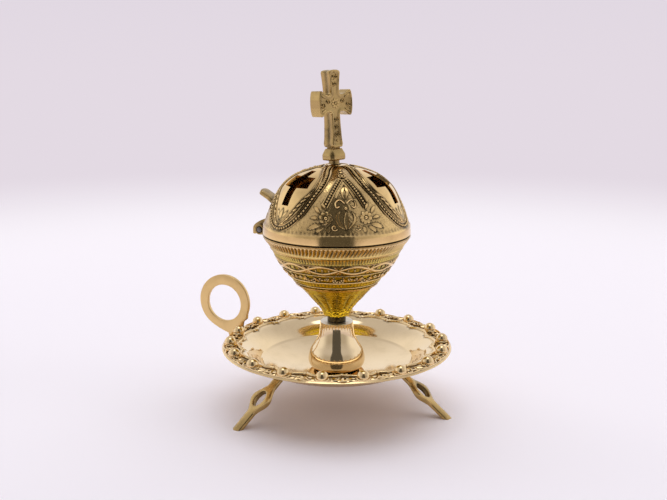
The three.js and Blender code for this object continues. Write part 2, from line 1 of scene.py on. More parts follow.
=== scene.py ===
# Brass home censer: the chased, cast and polished pieces that dress the CAD
# frame, with their materials, and a pale stage to see them on.
#
# Everything is in metres in the frame's own axes. Angles are counted from +X,
# counter-clockwise from above. Ornament is modelled flat, x across, y down the
# surface and z off it, and is then laid on the turned surface that carries it.

import math

import bmesh
import bpy
import numpy as np
from bpy.props import FloatProperty, FloatVectorProperty, IntProperty, PointerProperty
from bpy.types import Operator, Panel, PropertyGroup
from mathutils import Euler, Matrix, Vector
from mathutils.kdtree import KDTree


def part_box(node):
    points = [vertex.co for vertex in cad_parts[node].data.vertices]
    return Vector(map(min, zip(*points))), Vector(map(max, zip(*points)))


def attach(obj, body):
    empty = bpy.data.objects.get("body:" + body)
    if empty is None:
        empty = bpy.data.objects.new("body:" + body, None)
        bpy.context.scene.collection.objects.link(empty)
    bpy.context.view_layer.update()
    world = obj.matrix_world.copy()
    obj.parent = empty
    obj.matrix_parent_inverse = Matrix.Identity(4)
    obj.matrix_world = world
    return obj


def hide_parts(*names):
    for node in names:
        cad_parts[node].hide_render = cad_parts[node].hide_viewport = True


bl_info = {
    "name": "Brass home censer",
    "version": (1, 0, 0),
    "blender": (4, 5, 0),
    "location": "3D View > Sidebar > Censer",
    "description": "Models the chased and cast pieces of a brass home censer over its CAD frame",
    "category": "Object",
}

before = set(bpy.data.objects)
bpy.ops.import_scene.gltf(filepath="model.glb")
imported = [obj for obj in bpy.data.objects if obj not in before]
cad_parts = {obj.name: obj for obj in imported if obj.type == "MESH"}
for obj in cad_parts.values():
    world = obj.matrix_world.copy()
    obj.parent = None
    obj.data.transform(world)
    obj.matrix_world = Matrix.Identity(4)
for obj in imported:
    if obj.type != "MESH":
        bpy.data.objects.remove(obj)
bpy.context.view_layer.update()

MM = 0.001
LOW, HIGH = 0, 1
X, Y, Z = 0, 1, 2


def edge_of(node, end, axis):
    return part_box(node)[end][axis]


def middle_of(node, axis):
    return (edge_of(node, LOW, axis) + edge_of(node, HIGH, axis)) / 2


# Places that follow from the frame
AXIS_X = middle_of("bowl", X)
BOWL_RADIUS = (edge_of("bowl", HIGH, X) - edge_of("bowl", LOW, X)) / 2
BOWL_RIM = edge_of("bowl", HIGH, Z)
SPIGOT_BOTTOM = edge_of("bowl", LOW, Z)
LID_BOTTOM, LID_TOP = edge_of("lid", LOW, Z), edge_of("lid", HIGH, Z)
DISH_RADIUS = edge_of("dish", HIGH, Y)
DISH_BEAD_TOP = edge_of("dish", HIGH, Z)
DISH_BOTTOM = edge_of("dish", LOW, Z)
PEDESTAL_BOTTOM, PEDESTAL_TOP = edge_of("pedestal", LOW, Z), edge_of("pedestal", HIGH, Z)
PEDESTAL_RADIUS = edge_of("pedestal", HIGH, Y)
PIN_X, PIN_Z = middle_of("hinge_pin", X), middle_of("hinge_pin", Z)
PIN_RADIUS = (edge_of("hinge_pin", HIGH, Z) - edge_of("hinge_pin", LOW, Z)) / 2


# Settings

def a_length(name, millimetres, description):
    return FloatProperty(name=name, description=description, default=millimetres * MM,
                         subtype="DISTANCE", unit="LENGTH")


def a_number(name, default, least, description):
    return IntProperty(name=name, description=description, default=default, min=least)


def a_colour(name, rgb, description):
    return FloatVectorProperty(name=name, description=description, default=rgb, subtype="COLOR",
                               size=3, min=0.0, max=1.0)


class CenserSizes(PropertyGroup):
    """Sizes that a user would change."""

    seat_gap: a_length("Seat gap", 0.3, "Left between pieces that are brazed or screwed together")
    bead_count: a_number("Rim beads", 18, 3, "Beads round the dish's rim")
    first_bead: FloatProperty(
        name="First bead", description="Angle of the first bead of the rim",
        default=math.radians(5.3), subtype="ANGLE", unit="ROTATION")
    bead_radius: a_length("Bead radius", 2.7, "Radius of a bead of the rim")
    bead_sink: a_length("Bead sink", 0.7, "Depth of a bead in the rim")
    bead_inset: a_length("Bead inset", 4.0, "From the dish's edge to a bead's centre")
    dish_wall: a_length("Dish wall", 1.8, "Thickness of the dish")
    dish_rim_width: a_length("Rim width", 10.5, "Width of the dish's flat rim")
    bowl_wall: a_length("Bowl wall", 2.2, "Thickness of the bowl at its rim")
    gadroons: a_number("Gadroons", 112, 12, "Slanted ribs round the bowl under its rim")
    gadroon_depth: a_length("Gadroon depth", 0.6, "Depth of the grooves between the slanted ribs")
    petals: a_number("Bowl petals", 16, 3, "Petals round the foot of the bowl")
    lid_wall: a_length("Lid wall", 2.0, "Thickness of the lid under the cross")
    lid_band: a_length("Lid band", 4.3, "Height of the plain band at the foot of the lid")
    band_proud: a_length("Band step", 0.8, "How far the plain band stands out from the dome")
    ground_depth: a_length("Ground depth", 0.22, "Depth of the matted ground round the smooth fields")


class CenserFinishes(PropertyGroup):
    """Colours that a user would change."""

    brass: a_colour("Brass", (0.87, 0.62, 0.29), "Colour of clean brass")
    pale_brass: a_colour("Pale brass", (0.88, 0.71, 0.47), "Colour of mirror polished brass")
    # Painted reflection: the saturated yellow that the dish throws on the bowl's lower part.
    dish_reflection_brass: a_colour("Painted dish reflection", (0.93, 0.72, 0.045), "Colour low on the bowl")
    cast_brass: a_colour("Cast brass", (0.56, 0.395, 0.165), "Colour of the legs and the cross")
    # The dark film's colour, also used for painted shade in recesses, under beads and in gaps.
    film_and_shade_colour: a_colour("Patina and shade", (0.085, 0.063, 0.032), "Colour of the dark film in recesses")
    steel: a_colour("Steel", (0.20, 0.19, 0.20), "Colour of the screws and washers")
    floor: a_colour("Floor", (0.95, 0.905, 0.96), "Colour of the floor")
    # The horizon and the backdrop's top are darker than the floor: painted shade where the light falls off.
    horizon: a_colour("Horizon", (0.77, 0.70, 0.77), "Colour where the floor meets the backdrop")
    backdrop: a_colour("Backdrop", (0.75, 0.685, 0.76), "Colour of the backdrop's top")


# Lines and turned surfaces

def smooth_line(points, count):
    """`count` + 1 points on a smooth curve through the given ones."""
    points = np.array(points, float)
    last = len(points) - 1
    at = np.linspace(0, last, count + 1)
    start = np.minimum(at.astype(int), last - 1)
    t = (at - start)[:, None]
    p0, p1, p2, p3 = (points[np.clip(start + k, 0, last)] for k in (-1, 0, 1, 2))
    v1 = (p2 - p0) / 2
    v2 = (p3 - p1) / 2
    return (2 * p1 - 2 * p2 + v1 + v2) * t**3 + (3 * p2 - 3 * p1 - 2 * v1 - v2) * t**2 + v1 * t + p1


def evenly(line, step):
    """The line's points at an even step along it."""
    line = np.array(line, float)
    along = np.concatenate([[0], np.cumsum(np.hypot(*np.diff(line, axis=0).T))])
    at = np.linspace(0, along[-1], max(int(round(along[-1] / step)), 2) + 1)
    return np.stack([np.interp(at, along, line[:, 0]), np.interp(at, along, line[:, 1])], axis=1)


def bezier(points, shares):
    """The curve that the points steer, at the given shares of its way."""
    last = len(points) - 1
    shares = np.array(shares)[:, None]
    return sum(math.comb(last, k) * np.array(point) * shares ** k * (1 - shares) ** (last - k)
               for k, point in enumerate(points))


def as_points(line):
    return [tuple(point) for point in line]


def offset(line, distance):
    """The line moved sideways, to the left of its direction."""
    line = np.array(line, float)
    along = np.gradient(line, axis=0)
    along /= np.linalg.norm(along, axis=1)[:, None]
    return line + distance * np.stack([-along[:, 1], along[:, 0]], axis=1)


class Skin:
    """A turned surface: a place on it is an angle, a distance down its line and a lift off it."""

    def __init__(self, line):
        self.line = np.array(line, float)
        steps = np.hypot(*np.diff(self.line, axis=0).T)
        self.down = np.concatenate([[0], np.cumsum(steps)])
        self.length = self.down[-1]
        slope = np.gradient(self.line, self.down, axis=0)
        self.out = np.stack([-slope[:, 1], slope[:, 0]], axis=1)
        self.out /= np.linalg.norm(self.out, axis=1)[:, None]

    def at(self, table, down):
        return np.interp(down, self.down, table)

    def radius(self, down):
        return self.at(self.line[:, 0], down)

    def place(self, angle, down, lift):
        radius = self.radius(down) + self.at(self.out[:, 0], down) * lift
        height = self.at(self.line[:, 1], down) + self.at(self.out[:, 1], down) * lift
        return np.stack([AXIS_X + radius * np.cos(angle), radius * np.sin(angle), height], axis=1)

    def lay(self, verts, angle):
        """Bends flat vertices over the surface, around an angle."""
        flat = np.array([vert.co for vert in verts])
        turn = angle + flat[:, 0] / self.radius(flat[:, 1])
        for vert, spot in zip(verts, self.place(turn, flat[:, 1], flat[:, 2])):
            vert.co = spot


# Mesh helpers

def new_mesh():
    """An empty bmesh with the layers that the materials read."""
    bm = bmesh.new()
    # The first layer darkens the metal: patina in hollows, and painted shade at the feet of relief, under
    # beads and in gaps between parts.
    for name in ("film_and_shade", "ground", "along", "turn"):
        bm.verts.layers.float.new(name)
    return bm


def layer(bm, name):
    return bm.verts.layers.float[name]


def outward(bm):
    """Turns the faces of one closed shell outwards."""
    bmesh.ops.recalc_face_normals(bm, faces=bm.faces)
    if bm.calc_volume(signed=True) < 0:
        bmesh.ops.reverse_faces(bm, faces=bm.faces)
    bm.normal_update()


def join(target, source):
    """Adds a copy of one mesh to another."""
    mesh = bpy.data.meshes.new("copy")
    source.to_mesh(mesh)
    target.from_mesh(mesh)
    bpy.data.meshes.remove(mesh)


def absorb(target, source):
    """Adds one mesh to another and lets go of it."""
    join(target, source)
    source.free()


def mesh_of(bm, name):
    """A mesh made from the bmesh, which is let go of."""
    mesh = bpy.data.meshes.new(name)
    bm.to_mesh(mesh)
    bm.free()
    return mesh


def linked(name, data):
    """An object of the data, in the scene."""
    obj = bpy.data.objects.new(name, data)
    bpy.context.scene.collection.objects.link(obj)
    return obj


def rotate(bm, angle, axis, verts=None, centre=(0, 0, 0)):
    bmesh.ops.rotate(bm, verts=verts or bm.verts, cent=centre, matrix=Matrix.Rotation(angle, 3, axis))


def move(bm, x, y, z, verts=None):
    bmesh.ops.translate(bm, verts=verts or bm.verts, vec=(x, y, z))


def extruded(bm, faces, z):
    """Pulls faces out along Z."""
    made = bmesh.ops.extrude_face_region(bm, geom=faces)["geom"]
    move(bm, 0, 0, z, [item for item in made if isinstance(item, bmesh.types.BMVert)])


def spun(bm, outline, sides, centre_x=None, sectors=1):
    """Spins a closed outline of (radius, height, along), as one turn or as equal sectors."""
    centre_x = AXIS_X if centre_x is None else centre_x
    wedge = new_mesh()
    along = layer(wedge, "along")
    verts = []
    for radius, height, down in outline:
        vert = wedge.verts.new((centre_x + radius, 0, height))
        vert[along] = down
        verts.append(vert)
    edges = [wedge.edges.new(pair) for pair in zip(verts, verts[1:] + verts[:1])]
    bmesh.ops.spin(
        wedge, geom=verts + edges, cent=(centre_x, 0, 0), axis=(0, 0, 1),
        angle=2 * math.pi / sectors, steps=sides // sectors, use_merge=sectors == 1)
    bmesh.ops.remove_doubles(wedge, verts=wedge.verts, dist=1e-6)
    for _ in range(sectors):
        join(bm, wedge)
        rotate(wedge, 2 * math.pi / sectors, "Z", centre=(centre_x, 0, 0))
    wedge.free()
    seams = [vert for vert in bm.verts if vert.is_boundary or abs(vert.co.x - centre_x) < 1e-6]
    bmesh.ops.remove_doubles(bm, verts=seams, dist=1e-6)
    outward(bm)


def unmarked(line):
    """Outline points that no relief is measured along."""
    return [(radius, height, -1.0) for radius, height in line]


def bead(bm, x, y, radius, height, longer=1.0, turn=0.0, sides=8, rings=5):
    """A rounded bead, half sunk in the flat surface."""
    place = Matrix.LocRotScale((x, y, 0), Euler((0, 0, turn)), (radius, radius * longer, height))
    bmesh.ops.create_uvsphere(bm, u_segments=sides, v_segments=rings, radius=1, matrix=place)


def bead_row(bm, path, pitch, radius, height):
    for x, y in evenly(path, pitch):
        bead(bm, x, y, radius, height)


def ridge(bm, path, width, height, step=0.9 * MM, sides=6, closed=False):
    """A rounded ridge along a flat path, half sunk in the surface."""
    path = evenly(path, step)
    along = np.gradient(path, axis=0)
    if closed:
        path[-1] = path[0]
        along[0] = along[-1] = path[1] - path[-2]
    along /= np.linalg.norm(along, axis=1)[:, None]
    turn = layer(bm, "turn")
    ring = bmesh.ops.create_circle(bm, segments=sides, radius=1)["verts"]
    for vert in ring:
        vert[turn] = math.atan2(vert.co.y, vert.co.x)
    first = ring
    for k, (spot, ahead) in enumerate(zip(path, along)):
        if k:
            edges = list({edge for vert in ring for edge in vert.link_edges
                          if edge.other_vert(vert) in ring})
            made = bmesh.ops.extrude_edge_only(bm, edges=edges)["geom"]
            ring = [item for item in made if isinstance(item, bmesh.types.BMVert)]
        for vert in ring:
            across = math.cos(vert[turn]) * width / 2
            vert.co = (spot[0] - ahead[1] * across, spot[1] + ahead[0] * across,
                       math.sin(vert[turn]) * height)
    if closed:
        bmesh.ops.remove_doubles(bm, verts=first + ring, dist=1e-7)
        return
    for end in (first, ring):
        edges = list({edge for vert in end for edge in vert.link_edges if edge.is_boundary})
        bmesh.ops.contextual_create(bm, geom=edges)


def leaf(bm, spine, width, height, vein=0.0, sides=8, rings=8):
    """A closed leaf with pointed tips along a flat spine, with a groove down its middle."""
    spine = evenly(spine, 0.4 * MM)
    along = np.gradient(spine, axis=0)
    along /= np.linalg.norm(along, axis=1)[:, None]
    share = np.linspace(-1, 1, len(spine))
    made = bmesh.ops.create_uvsphere(
        bm, u_segments=sides, v_segments=rings, radius=1, matrix=Matrix.Rotation(math.pi / 2, 4, "Y"))
    for vert in made["verts"]:
        at, side, up = vert.co
        spot = [np.interp(at, share, spine[:, k]) for k in (0, 1)]
        ahead = [np.interp(at, share, along[:, k]) for k in (0, 1)]
        across = side * width / 2 * (1 - min(at * at, 1)) ** 0.3
        groove = vein if up > 0 and abs(side) < 0.2 * up else 0.0
        vert.co = (spot[0] - ahead[1] * across, spot[1] + ahead[0] * across, up * height - groove)


def arc(centre, radius, start, end, count=12):
    turns = np.radians(np.linspace(start, end, count + 1))
    return np.stack([centre[0] + radius * np.cos(turns), centre[1] + radius * np.sin(turns)], axis=1)


def scroll(centre, radius, start, turns, handed=1, count=22):
    """A spiral that winds in to its centre."""
    share = np.linspace(0, 1, count + 1)
    angle = math.radians(start) + handed * 2 * math.pi * turns * share
    reach = radius * (1 - 0.82 * share)
    return np.stack([centre[0] + reach * np.cos(angle), centre[1] + reach * np.sin(angle)], axis=1)


def flower(bm, x, y, radius, petals=8):
    """Petals round a centre bead, each with a groove."""
    for k in range(petals):
        turn = 2 * math.pi * (k + 0.25) / petals
        ahead = np.array([math.cos(turn), math.sin(turn)])
        leaf(bm, [np.array([x, y]) + ahead * radius * 0.28, np.array([x, y]) + ahead * radius],
             radius * 0.62, 0.42 * MM, vein=0.16 * MM, rings=6)
    bead(bm, x, y, radius * 0.27, 0.6 * MM)


def stamped(target, flat, skin, angle, foot_film_and_shade=1.0):
    """Adds a copy of the flat ornament to the target, laid on its surface around an angle, darkened at its
    foot with painted shade and patina.
    """
    laid = flat.copy()
    film_and_shade = layer(laid, "film_and_shade")
    for vert in laid.verts:
        vert[film_and_shade] = foot_film_and_shade * max(0.0, 1 - vert.co.z / (0.22 * MM))
    skin.lay(laid.verts[:], angle)
    bmesh.ops.reverse_faces(laid, faces=laid.faces)
    absorb(target, laid)


def stamped_round(flat, skin, places, foot_film_and_shade=1.0):
    """A mesh with a copy of the flat ornament at every angle; the flat one is let go of."""
    ornament = new_mesh()
    for angle in places:
        stamped(ornament, flat, skin, angle, foot_film_and_shade)
    flat.free()
    return ornament


def dress(bm, ornament, plain, reach):
    """Joins the ornament to the mesh, and darkens the plain surface near its foot with painted shade and
    patina.
    """
    tree = KDTree(len(ornament.verts))
    for index, vert in enumerate(ornament.verts):
        tree.insert(vert.co, index)
    tree.balance()
    film_and_shade = layer(bm, "film_and_shade")
    for vert in plain:
        distance = tree.find(vert.co)[2]
        vert[film_and_shade] = max(vert[film_and_shade], 1 - distance / reach)
    absorb(bm, ornament)


def polar(bm):
    """The vertices that relief is measured at: with distance down, angle and radius for each."""
    along = layer(bm, "along")
    verts = [vert for vert in bm.verts if vert[along] >= 0]
    x, y = np.array([vert.co for vert in verts])[:, :2].T
    down = np.array([vert[along] for vert in verts])
    return verts, down, np.arctan2(y, x - AXIS_X), np.hypot(x - AXIS_X, y)


def carve(verts, depths):
    """Moves each vertex into the surface by its own depth."""
    for (vert, normal), depth in zip([(vert, vert.normal.copy()) for vert in verts], depths):
        vert.co -= normal * float(depth)


def window(value, start, end, soft):
    """1 between two values, falling to 0 over a soft distance inside each end."""
    return np.clip((value - start) / soft, 0, 1) * np.clip((end - value) / soft, 0, 1)


def loop_of(bm, points):
    """A closed loop of edges through flat points."""
    verts = [bm.verts.new((x, y, 0)) for x, y in points]
    return [bm.edges.new(pair) for pair in zip(verts, verts[1:] + verts[:1])]


def thickened(bm, thickness):
    """Makes a flat face or ring of faces a solid plate, centred on its own plane."""
    extruded(bm, list(bm.faces), thickness)
    move(bm, 0, 0, -thickness / 2)
    outward(bm)


def plate(bm, outline, thickness, eye=None):
    """A flat plate of the given outline, with a hole round the eye's points."""
    edges = loop_of(bm, outline)
    if eye is None:
        bmesh.ops.contextual_create(bm, geom=edges)
    else:
        bmesh.ops.triangle_fill(bm, use_beauty=True, edges=edges + loop_of(bm, eye))
        bmesh.ops.dissolve_limit(bm, angle_limit=0.01, verts=bm.verts, edges=bm.edges)
    thickened(bm, thickness)


def eased(bm, width, segments=2, sharper_than=40):
    """Rounds the edges that are sharper than an angle."""
    bm.normal_update()
    sharp = [edge for edge in bm.edges
             if edge.is_manifold and edge.calc_face_angle() > math.radians(sharper_than)]
    bmesh.ops.bevel(
        bm, geom=sharp, offset=width, segments=segments, profile=0.5, affect="EDGES",
        material=-1, clamp_overlap=True)


def bisected(bm, place, normal, **options):
    """Cuts every face that a plane passes through."""
    bmesh.ops.bisect_plane(bm, geom=bm.verts[:] + bm.edges[:] + bm.faces[:], plane_co=place,
                           plane_no=normal, **options)


def upright(bm):
    """Turns a plate from the XY plane into the XZ plane, facing -Y."""
    rotate(bm, math.pi / 2, "X")


def to_hinge_side(bm):
    """Turns a piece drawn outward along +X round to the hinge, at -X."""
    rotate(bm, math.pi, "Z")
    move(bm, AXIS_X, 0, 0)


def piece(name, bm, body, materials, nodes, smooth=38):
    """Makes the mesh an object that rides on a body in place of its CAD nodes."""
    mesh = mesh_of(bm, name)
    mesh.shade_smooth()
    mesh.set_sharp_from_angle(angle=math.radians(smooth))
    for material in materials:
        mesh.materials.append(finishes()[material])
    obj = linked(name, mesh)
    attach(obj, body)
    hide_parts(*nodes)


# Materials

class Nodes:
    """A short way to add nodes and links to a node tree."""

    def __init__(self, tree):
        self.tree = tree

    def feed(self, socket, value):
        """Sets a socket, or links it where the value is another node's output."""
        if isinstance(value, bpy.types.NodeSocket):
            self.tree.links.new(value, socket)
        else:
            socket.default_value = value

    def add(self, kind, inputs=None, **settings):
        node = self.tree.nodes.new(kind)
        for key, value in settings.items():
            setattr(node, key, value)
        for key, value in (inputs or {}).items():
            self.feed(node.inputs[key], value)
        return node

    def maths(self, operation, a, b=0.0, clamp=False):
        return self.add("ShaderNodeMath", {0: a, 1: b}, operation=operation, use_clamp=clamp).outputs[0]

    def plus(self, a, b, clamp=False):
        return self.maths("ADD", a, b, clamp)

    def times(self, a, b):
        return self.maths("MULTIPLY", a, b)

    def mix(self, factor, a, b):
        node = self.add("ShaderNodeMix", data_type="RGBA")
        for key, value in (("Factor", factor), ("A", a), ("B", b)):
            self.feed([item for item in node.inputs if item.name == key and item.enabled][0], value)
        return [item for item in node.outputs if item.enabled][0]

    def noise(self, vector, scale, detail=3.0, roughness=0.5):
        return self.add("ShaderNodeTexNoise", {
            "Vector": vector, "Scale": scale, "Detail": detail, "Roughness": roughness,
        }).outputs["Fac"]

    def ramp(self, factor, low, high):
        """0 below `low`, 1 above `high`, smooth between."""
        return self.add("ShaderNodeMapRange", {
            "Value": factor, "From Min": low, "From Max": high,
        }, interpolation_type="SMOOTHSTEP", clamp=True).outputs["Result"]

    def mark(self, name):
        """A value that the mesh carries at its vertices."""
        return self.add("ShaderNodeAttribute", attribute_name=name).outputs["Fac"]

    def glow(self, colour):
        return self.add("ShaderNodeEmission", {"Color": colour, "Strength": 1.0}).outputs[0]

    def surface(self, shader):
        self.feed(self.tree.nodes["Material Output"].inputs["Surface"], shader)

    def place(self):
        return self.add("ShaderNodeTexCoord").outputs["Object"]

    def stretched(self, vector, turn, scale):
        return self.add("ShaderNodeMapping", {
            "Vector": vector, "Rotation": turn, "Scale": scale,
        }).outputs[0]


def opaque(colour):
    return (*colour, 1.0)


def new_group(name, inputs, outputs):
    """A shader group: its nodes, the outputs of its input node and its output node."""
    group = bpy.data.node_groups.new(name, "ShaderNodeTree")
    for label, kind, value in inputs:
        socket = group.interface.new_socket(name=label, in_out="INPUT", socket_type=kind)
        if value is not None:
            socket.default_value = value
    for label, kind in outputs:
        group.interface.new_socket(name=label, in_out="OUTPUT", socket_type=kind)
    nodes = Nodes(group)
    return nodes, nodes.add("NodeGroupInput").outputs, nodes.add("NodeGroupOutput")


def tarnish_and_shade_group():
    """Where the dark film lies: in marked recesses, where it is partly painted shade, and in thin clouds over
    the rest.
    """
    nodes, given, result = new_group("Tarnish and shade", [
        ("Vector", "NodeSocketVector", None),
        ("Recess", "NodeSocketFloat", 0.0),
        ("Depth", "NodeSocketFloat", 1.0),
        ("Clouds", "NodeSocketFloat", 0.2),
        ("Cloud Scale", "NodeSocketFloat", 90.0),
    ], [("Mask", "NodeSocketFloat")])
    cloud = nodes.noise(given["Vector"], given["Cloud Scale"], 4.0, 0.6)
    speck = nodes.noise(given["Vector"], 1400.0, 2.0)
    broken = nodes.plus(nodes.times(cloud, 0.7), nodes.times(speck, 0.6))
    held = nodes.times(nodes.times(given["Recess"], broken), given["Depth"])
    film = nodes.times(nodes.ramp(cloud, 0.42, 0.75), given["Clouds"])
    nodes.feed(result.inputs["Mask"], nodes.plus(held, film, clamp=True))


def handling_group():
    """Fine wipe marks and pits: a height, and how much they dull the polish."""
    nodes, given, result = new_group("Handling Marks", [
        ("Vector", "NodeSocketVector", None),
        ("Scratches", "NodeSocketFloat", 0.5),
        ("Pits", "NodeSocketFloat", 0.3),
    ], [("Height", "NodeSocketFloat"), ("Dulling", "NodeSocketFloat")])
    marks = nodes.times(nodes.plus(
        nodes.noise(nodes.stretched(given["Vector"], (0.3, 0.5, 0.7), (90.0, 2600.0, 900.0)), 1.0, 2.0),
        nodes.noise(nodes.stretched(given["Vector"], (0.9, -0.4, -0.6), (2200.0, 110.0, 700.0)), 1.0, 2.0),
    ), 0.5)
    pits = nodes.noise(given["Vector"], 2100.0, 3.0, 0.7)
    smear = nodes.noise(given["Vector"], 130.0, 3.0, 0.6)
    height = nodes.plus(nodes.times(marks, given["Scratches"]), nodes.times(pits, given["Pits"]))
    nodes.feed(result.inputs["Height"], height)
    nodes.feed(result.inputs["Dulling"], nodes.times(nodes.plus(smear, nodes.times(marks, 0.5)), 0.7))


def new_material(name):
    material = bpy.data.materials.new(name)
    material.use_nodes = True
    return material, Nodes(material.node_tree)


def metal(name, colour, film_and_shade_colour, rough, clouds, depth, scratches, pits, bump,
          dulling=0.12, stipple=0.0, dish_reflection=None):
    """A metal with tarnish and painted shade in its recesses, and marks of handling.

    `stipple` is the depth of the punched ground, and the last argument a colour low on a vessel: a painted
    reflection of the dish below it.
    """
    _, nodes = new_material(name)
    shader = nodes.tree.nodes["Principled BSDF"]
    where = nodes.place()
    # The marked darkening: patina in hollows, and painted shade at the feet of relief, under beads and in
    # gaps.
    recess = nodes.mark("film_and_shade")
    film = nodes.add("ShaderNodeGroup", node_tree=bpy.data.node_groups["Tarnish and shade"])
    wear = nodes.add("ShaderNodeGroup", node_tree=bpy.data.node_groups["Handling Marks"])
    for group, key, value in (
            (film, "Vector", where), (wear, "Vector", where), (film, "Clouds", clouds),
            (film, "Depth", depth), (wear, "Scratches", scratches), (wear, "Pits", pits)):
        nodes.feed(group.inputs[key], value)
    warm = tuple(min(1.0, c * k) for c, k in zip(colour, WARMER))
    base = nodes.mix(nodes.noise(where, 45.0, 3.0), opaque(colour), opaque(warm))
    height = wear.outputs["Height"]
    # Painted reflection of the dish, low on the vessel.
    if dish_reflection:
        base = nodes.mix(nodes.ramp(nodes.mark("along"), 1 * MM, 20 * MM), base, opaque(dish_reflection))
    if stipple:
        punched = nodes.add("ShaderNodeTexVoronoi", {"Vector": where, "Scale": 1500.0}).outputs["Distance"]
        hollow = nodes.times(nodes.mark("ground"), nodes.ramp(punched, 0.55, 0.15))
        height = nodes.maths("SUBTRACT", height, nodes.times(hollow, stipple))
        recess = nodes.plus(recess, nodes.times(hollow, 0.3), clamp=True)
    nodes.feed(film.inputs["Recess"], recess)
    mask = film.outputs["Mask"]
    nodes.feed(shader.inputs["Base Color"], nodes.mix(mask, base, opaque(film_and_shade_colour)))
    roughness = nodes.plus(rough, nodes.times(wear.outputs["Dulling"], dulling))
    nodes.feed(shader.inputs["Roughness"], nodes.plus(roughness, nodes.times(mask, 0.2), clamp=True))
    nodes.feed(shader.inputs["Metallic"], 1.0)
    bumped = nodes.add("ShaderNodeBump", {"Strength": bump, "Distance": 0.05 * MM, "Height": height})
    nodes.feed(shader.inputs["Normal"], bumped.outputs["Normal"])


WARMER = (0.97, 0.92, 0.80)
FACED_BRASS = (0.74, 0.70, 0.64)
# Dark film of the steel, also its painted shade in the screw's slot.
STEEL_FILM_AND_SHADE = (0.05, 0.035, 0.03)


def finishes():
    """Every material of the censer, made once."""
    if "Chased brass" in bpy.data.materials:
        return bpy.data.materials
    tarnish_and_shade_group()
    handling_group()
    colours = bpy.context.scene.censer_finishes
    brass, pale, dish_reflection, cast, dark, steel = (tuple(colour) for colour in (
        colours.brass, colours.pale_brass, colours.dish_reflection_brass, colours.cast_brass,
        colours.film_and_shade_colour, colours.steel))
    rim = tuple((a + b) / 2 for a, b in zip(brass, pale))
    filed = tuple(c * 0.92 for c in brass)
    # Name, colour, colour of the film and painted shade; roughness; clouds and depth of the film; scratches
    # and pits; bump
    for *values, options in (
            ("Polished brass", pale, dark, 0.05, 0.08, 1.3, 0.5, 0.1, 0.06, {"dulling": 0.07}),
            ("Rim brass", rim, dark, 0.07, 0.2, 0.9, 0.35, 0.3, 0.15, {}),
            ("Chased brass", brass, dark, 0.07, 0.25, 1.6, 0.35, 0.45, 0.30, {"stipple": 1.0}),
            # The bowl's colour low down is a painted reflection of the dish below it.
            ("Bowl brass", brass, dark, 0.07, 0.20, 1.6, 0.35, 0.4, 0.25, {"dish_reflection": dish_reflection}),
            ("Cast brass", cast, dark, 0.15, 0.55, 1.5, 0.6, 0.9, 0.45, {}),
            ("Filed brass", filed, dark, 0.26, 0.15, 1.0, 1.0, 0.5, 0.4, {}),
            ("Faced brass", FACED_BRASS, dark, 0.30, 0.15, 1.5, 0.8, 0.2, 0.3, {}),
            ("Dull steel", steel, STEEL_FILM_AND_SHADE, 0.36, 0.45, 0.8, 0.7, 0.8, 0.4, {})):
        metal(*values, **options)
    return bpy.data.materials


# Dish

DISH_SIDE_WIDTH = 8.5 * MM
DISH_EDGE_WALL = 0.8 * MM
SCREW_HOLE = 2.8 * MM
RIM_START = 1.5 * MM  # of the flat rim, outward from its inner edge
NOSE_ANGLES = (60, 30, 0, -30, -60)

# The floor's rise, and what steers the side, in shares of its width and height
DISH_INSIDE = (5.5 * MM, (0.2, 0.32), (0.66, 0.96))
DISH_UNDERSIDE = (6.2 * MM, (0.55, 0.2), (0.75, 0.98))


def dish_rim_top():
    sizes = bpy.context.scene.censer_sizes
    return DISH_BEAD_TOP - 2 * sizes.bead_radius + sizes.bead_sink


def dish_line(rise, *steps):
    """The dish's upper line, from the screw hole to the start of its rounded edge."""
    sizes = bpy.context.scene.censer_sizes
    rim_inner = DISH_RADIUS - sizes.dish_rim_width
    floor_radius = rim_inner - DISH_SIDE_WIDTH
    rim = dish_rim_top()

    def floor_height(radius):
        return DISH_BOTTOM + sizes.dish_wall + rise * (radius / floor_radius) ** 2

    floor = [(r, floor_height(r)) for r in np.linspace(SCREW_HOLE, floor_radius, 22)[:-1]]
    edge = floor_height(floor_radius)
    steering = [(floor_radius + DISH_SIDE_WIDTH * out, edge + (rim - edge) * up) for out, up in steps]
    side = bezier([(floor_radius, edge), *steering, (rim_inner + RIM_START, rim)], np.linspace(0, 1, 19))
    lip = np.linspace(side[-1][0], DISH_RADIUS - sizes.dish_wall / 2, 26)[1:]
    return np.array(floor + as_points(side) + [(r, rim) for r in lip])


def dish_mesh(sizes):
    line, below = dish_line(*DISH_INSIDE), dish_line(*DISH_UNDERSIDE)
    skin = Skin(line)
    nose_x, nose_z = DISH_RADIUS - sizes.dish_wall / 2, dish_rim_top() - DISH_EDGE_WALL / 2
    nose = [(nose_x + sizes.dish_wall / 2 * math.cos(math.radians(a)),
             nose_z + DISH_EDGE_WALL / 2 * math.sin(math.radians(a))) for a in NOSE_ANGLES]
    wall = np.interp(line[:, 0], [DISH_RADIUS - 8 * MM, DISH_RADIUS - MM], [sizes.dish_wall, DISH_EDGE_WALL])
    under = (below + (offset(below, -1.0) - below) * wall[:, None])[::-1][::3]
    bm = new_mesh()
    marked = [(r, z, d) for (r, z), d in zip(line, skin.down)]
    plain = unmarked([*nose, *under[:-1], (SCREW_HOLE, DISH_BOTTOM)])
    spun(bm, marked + plain, 540, sectors=18)
    return bm, skin


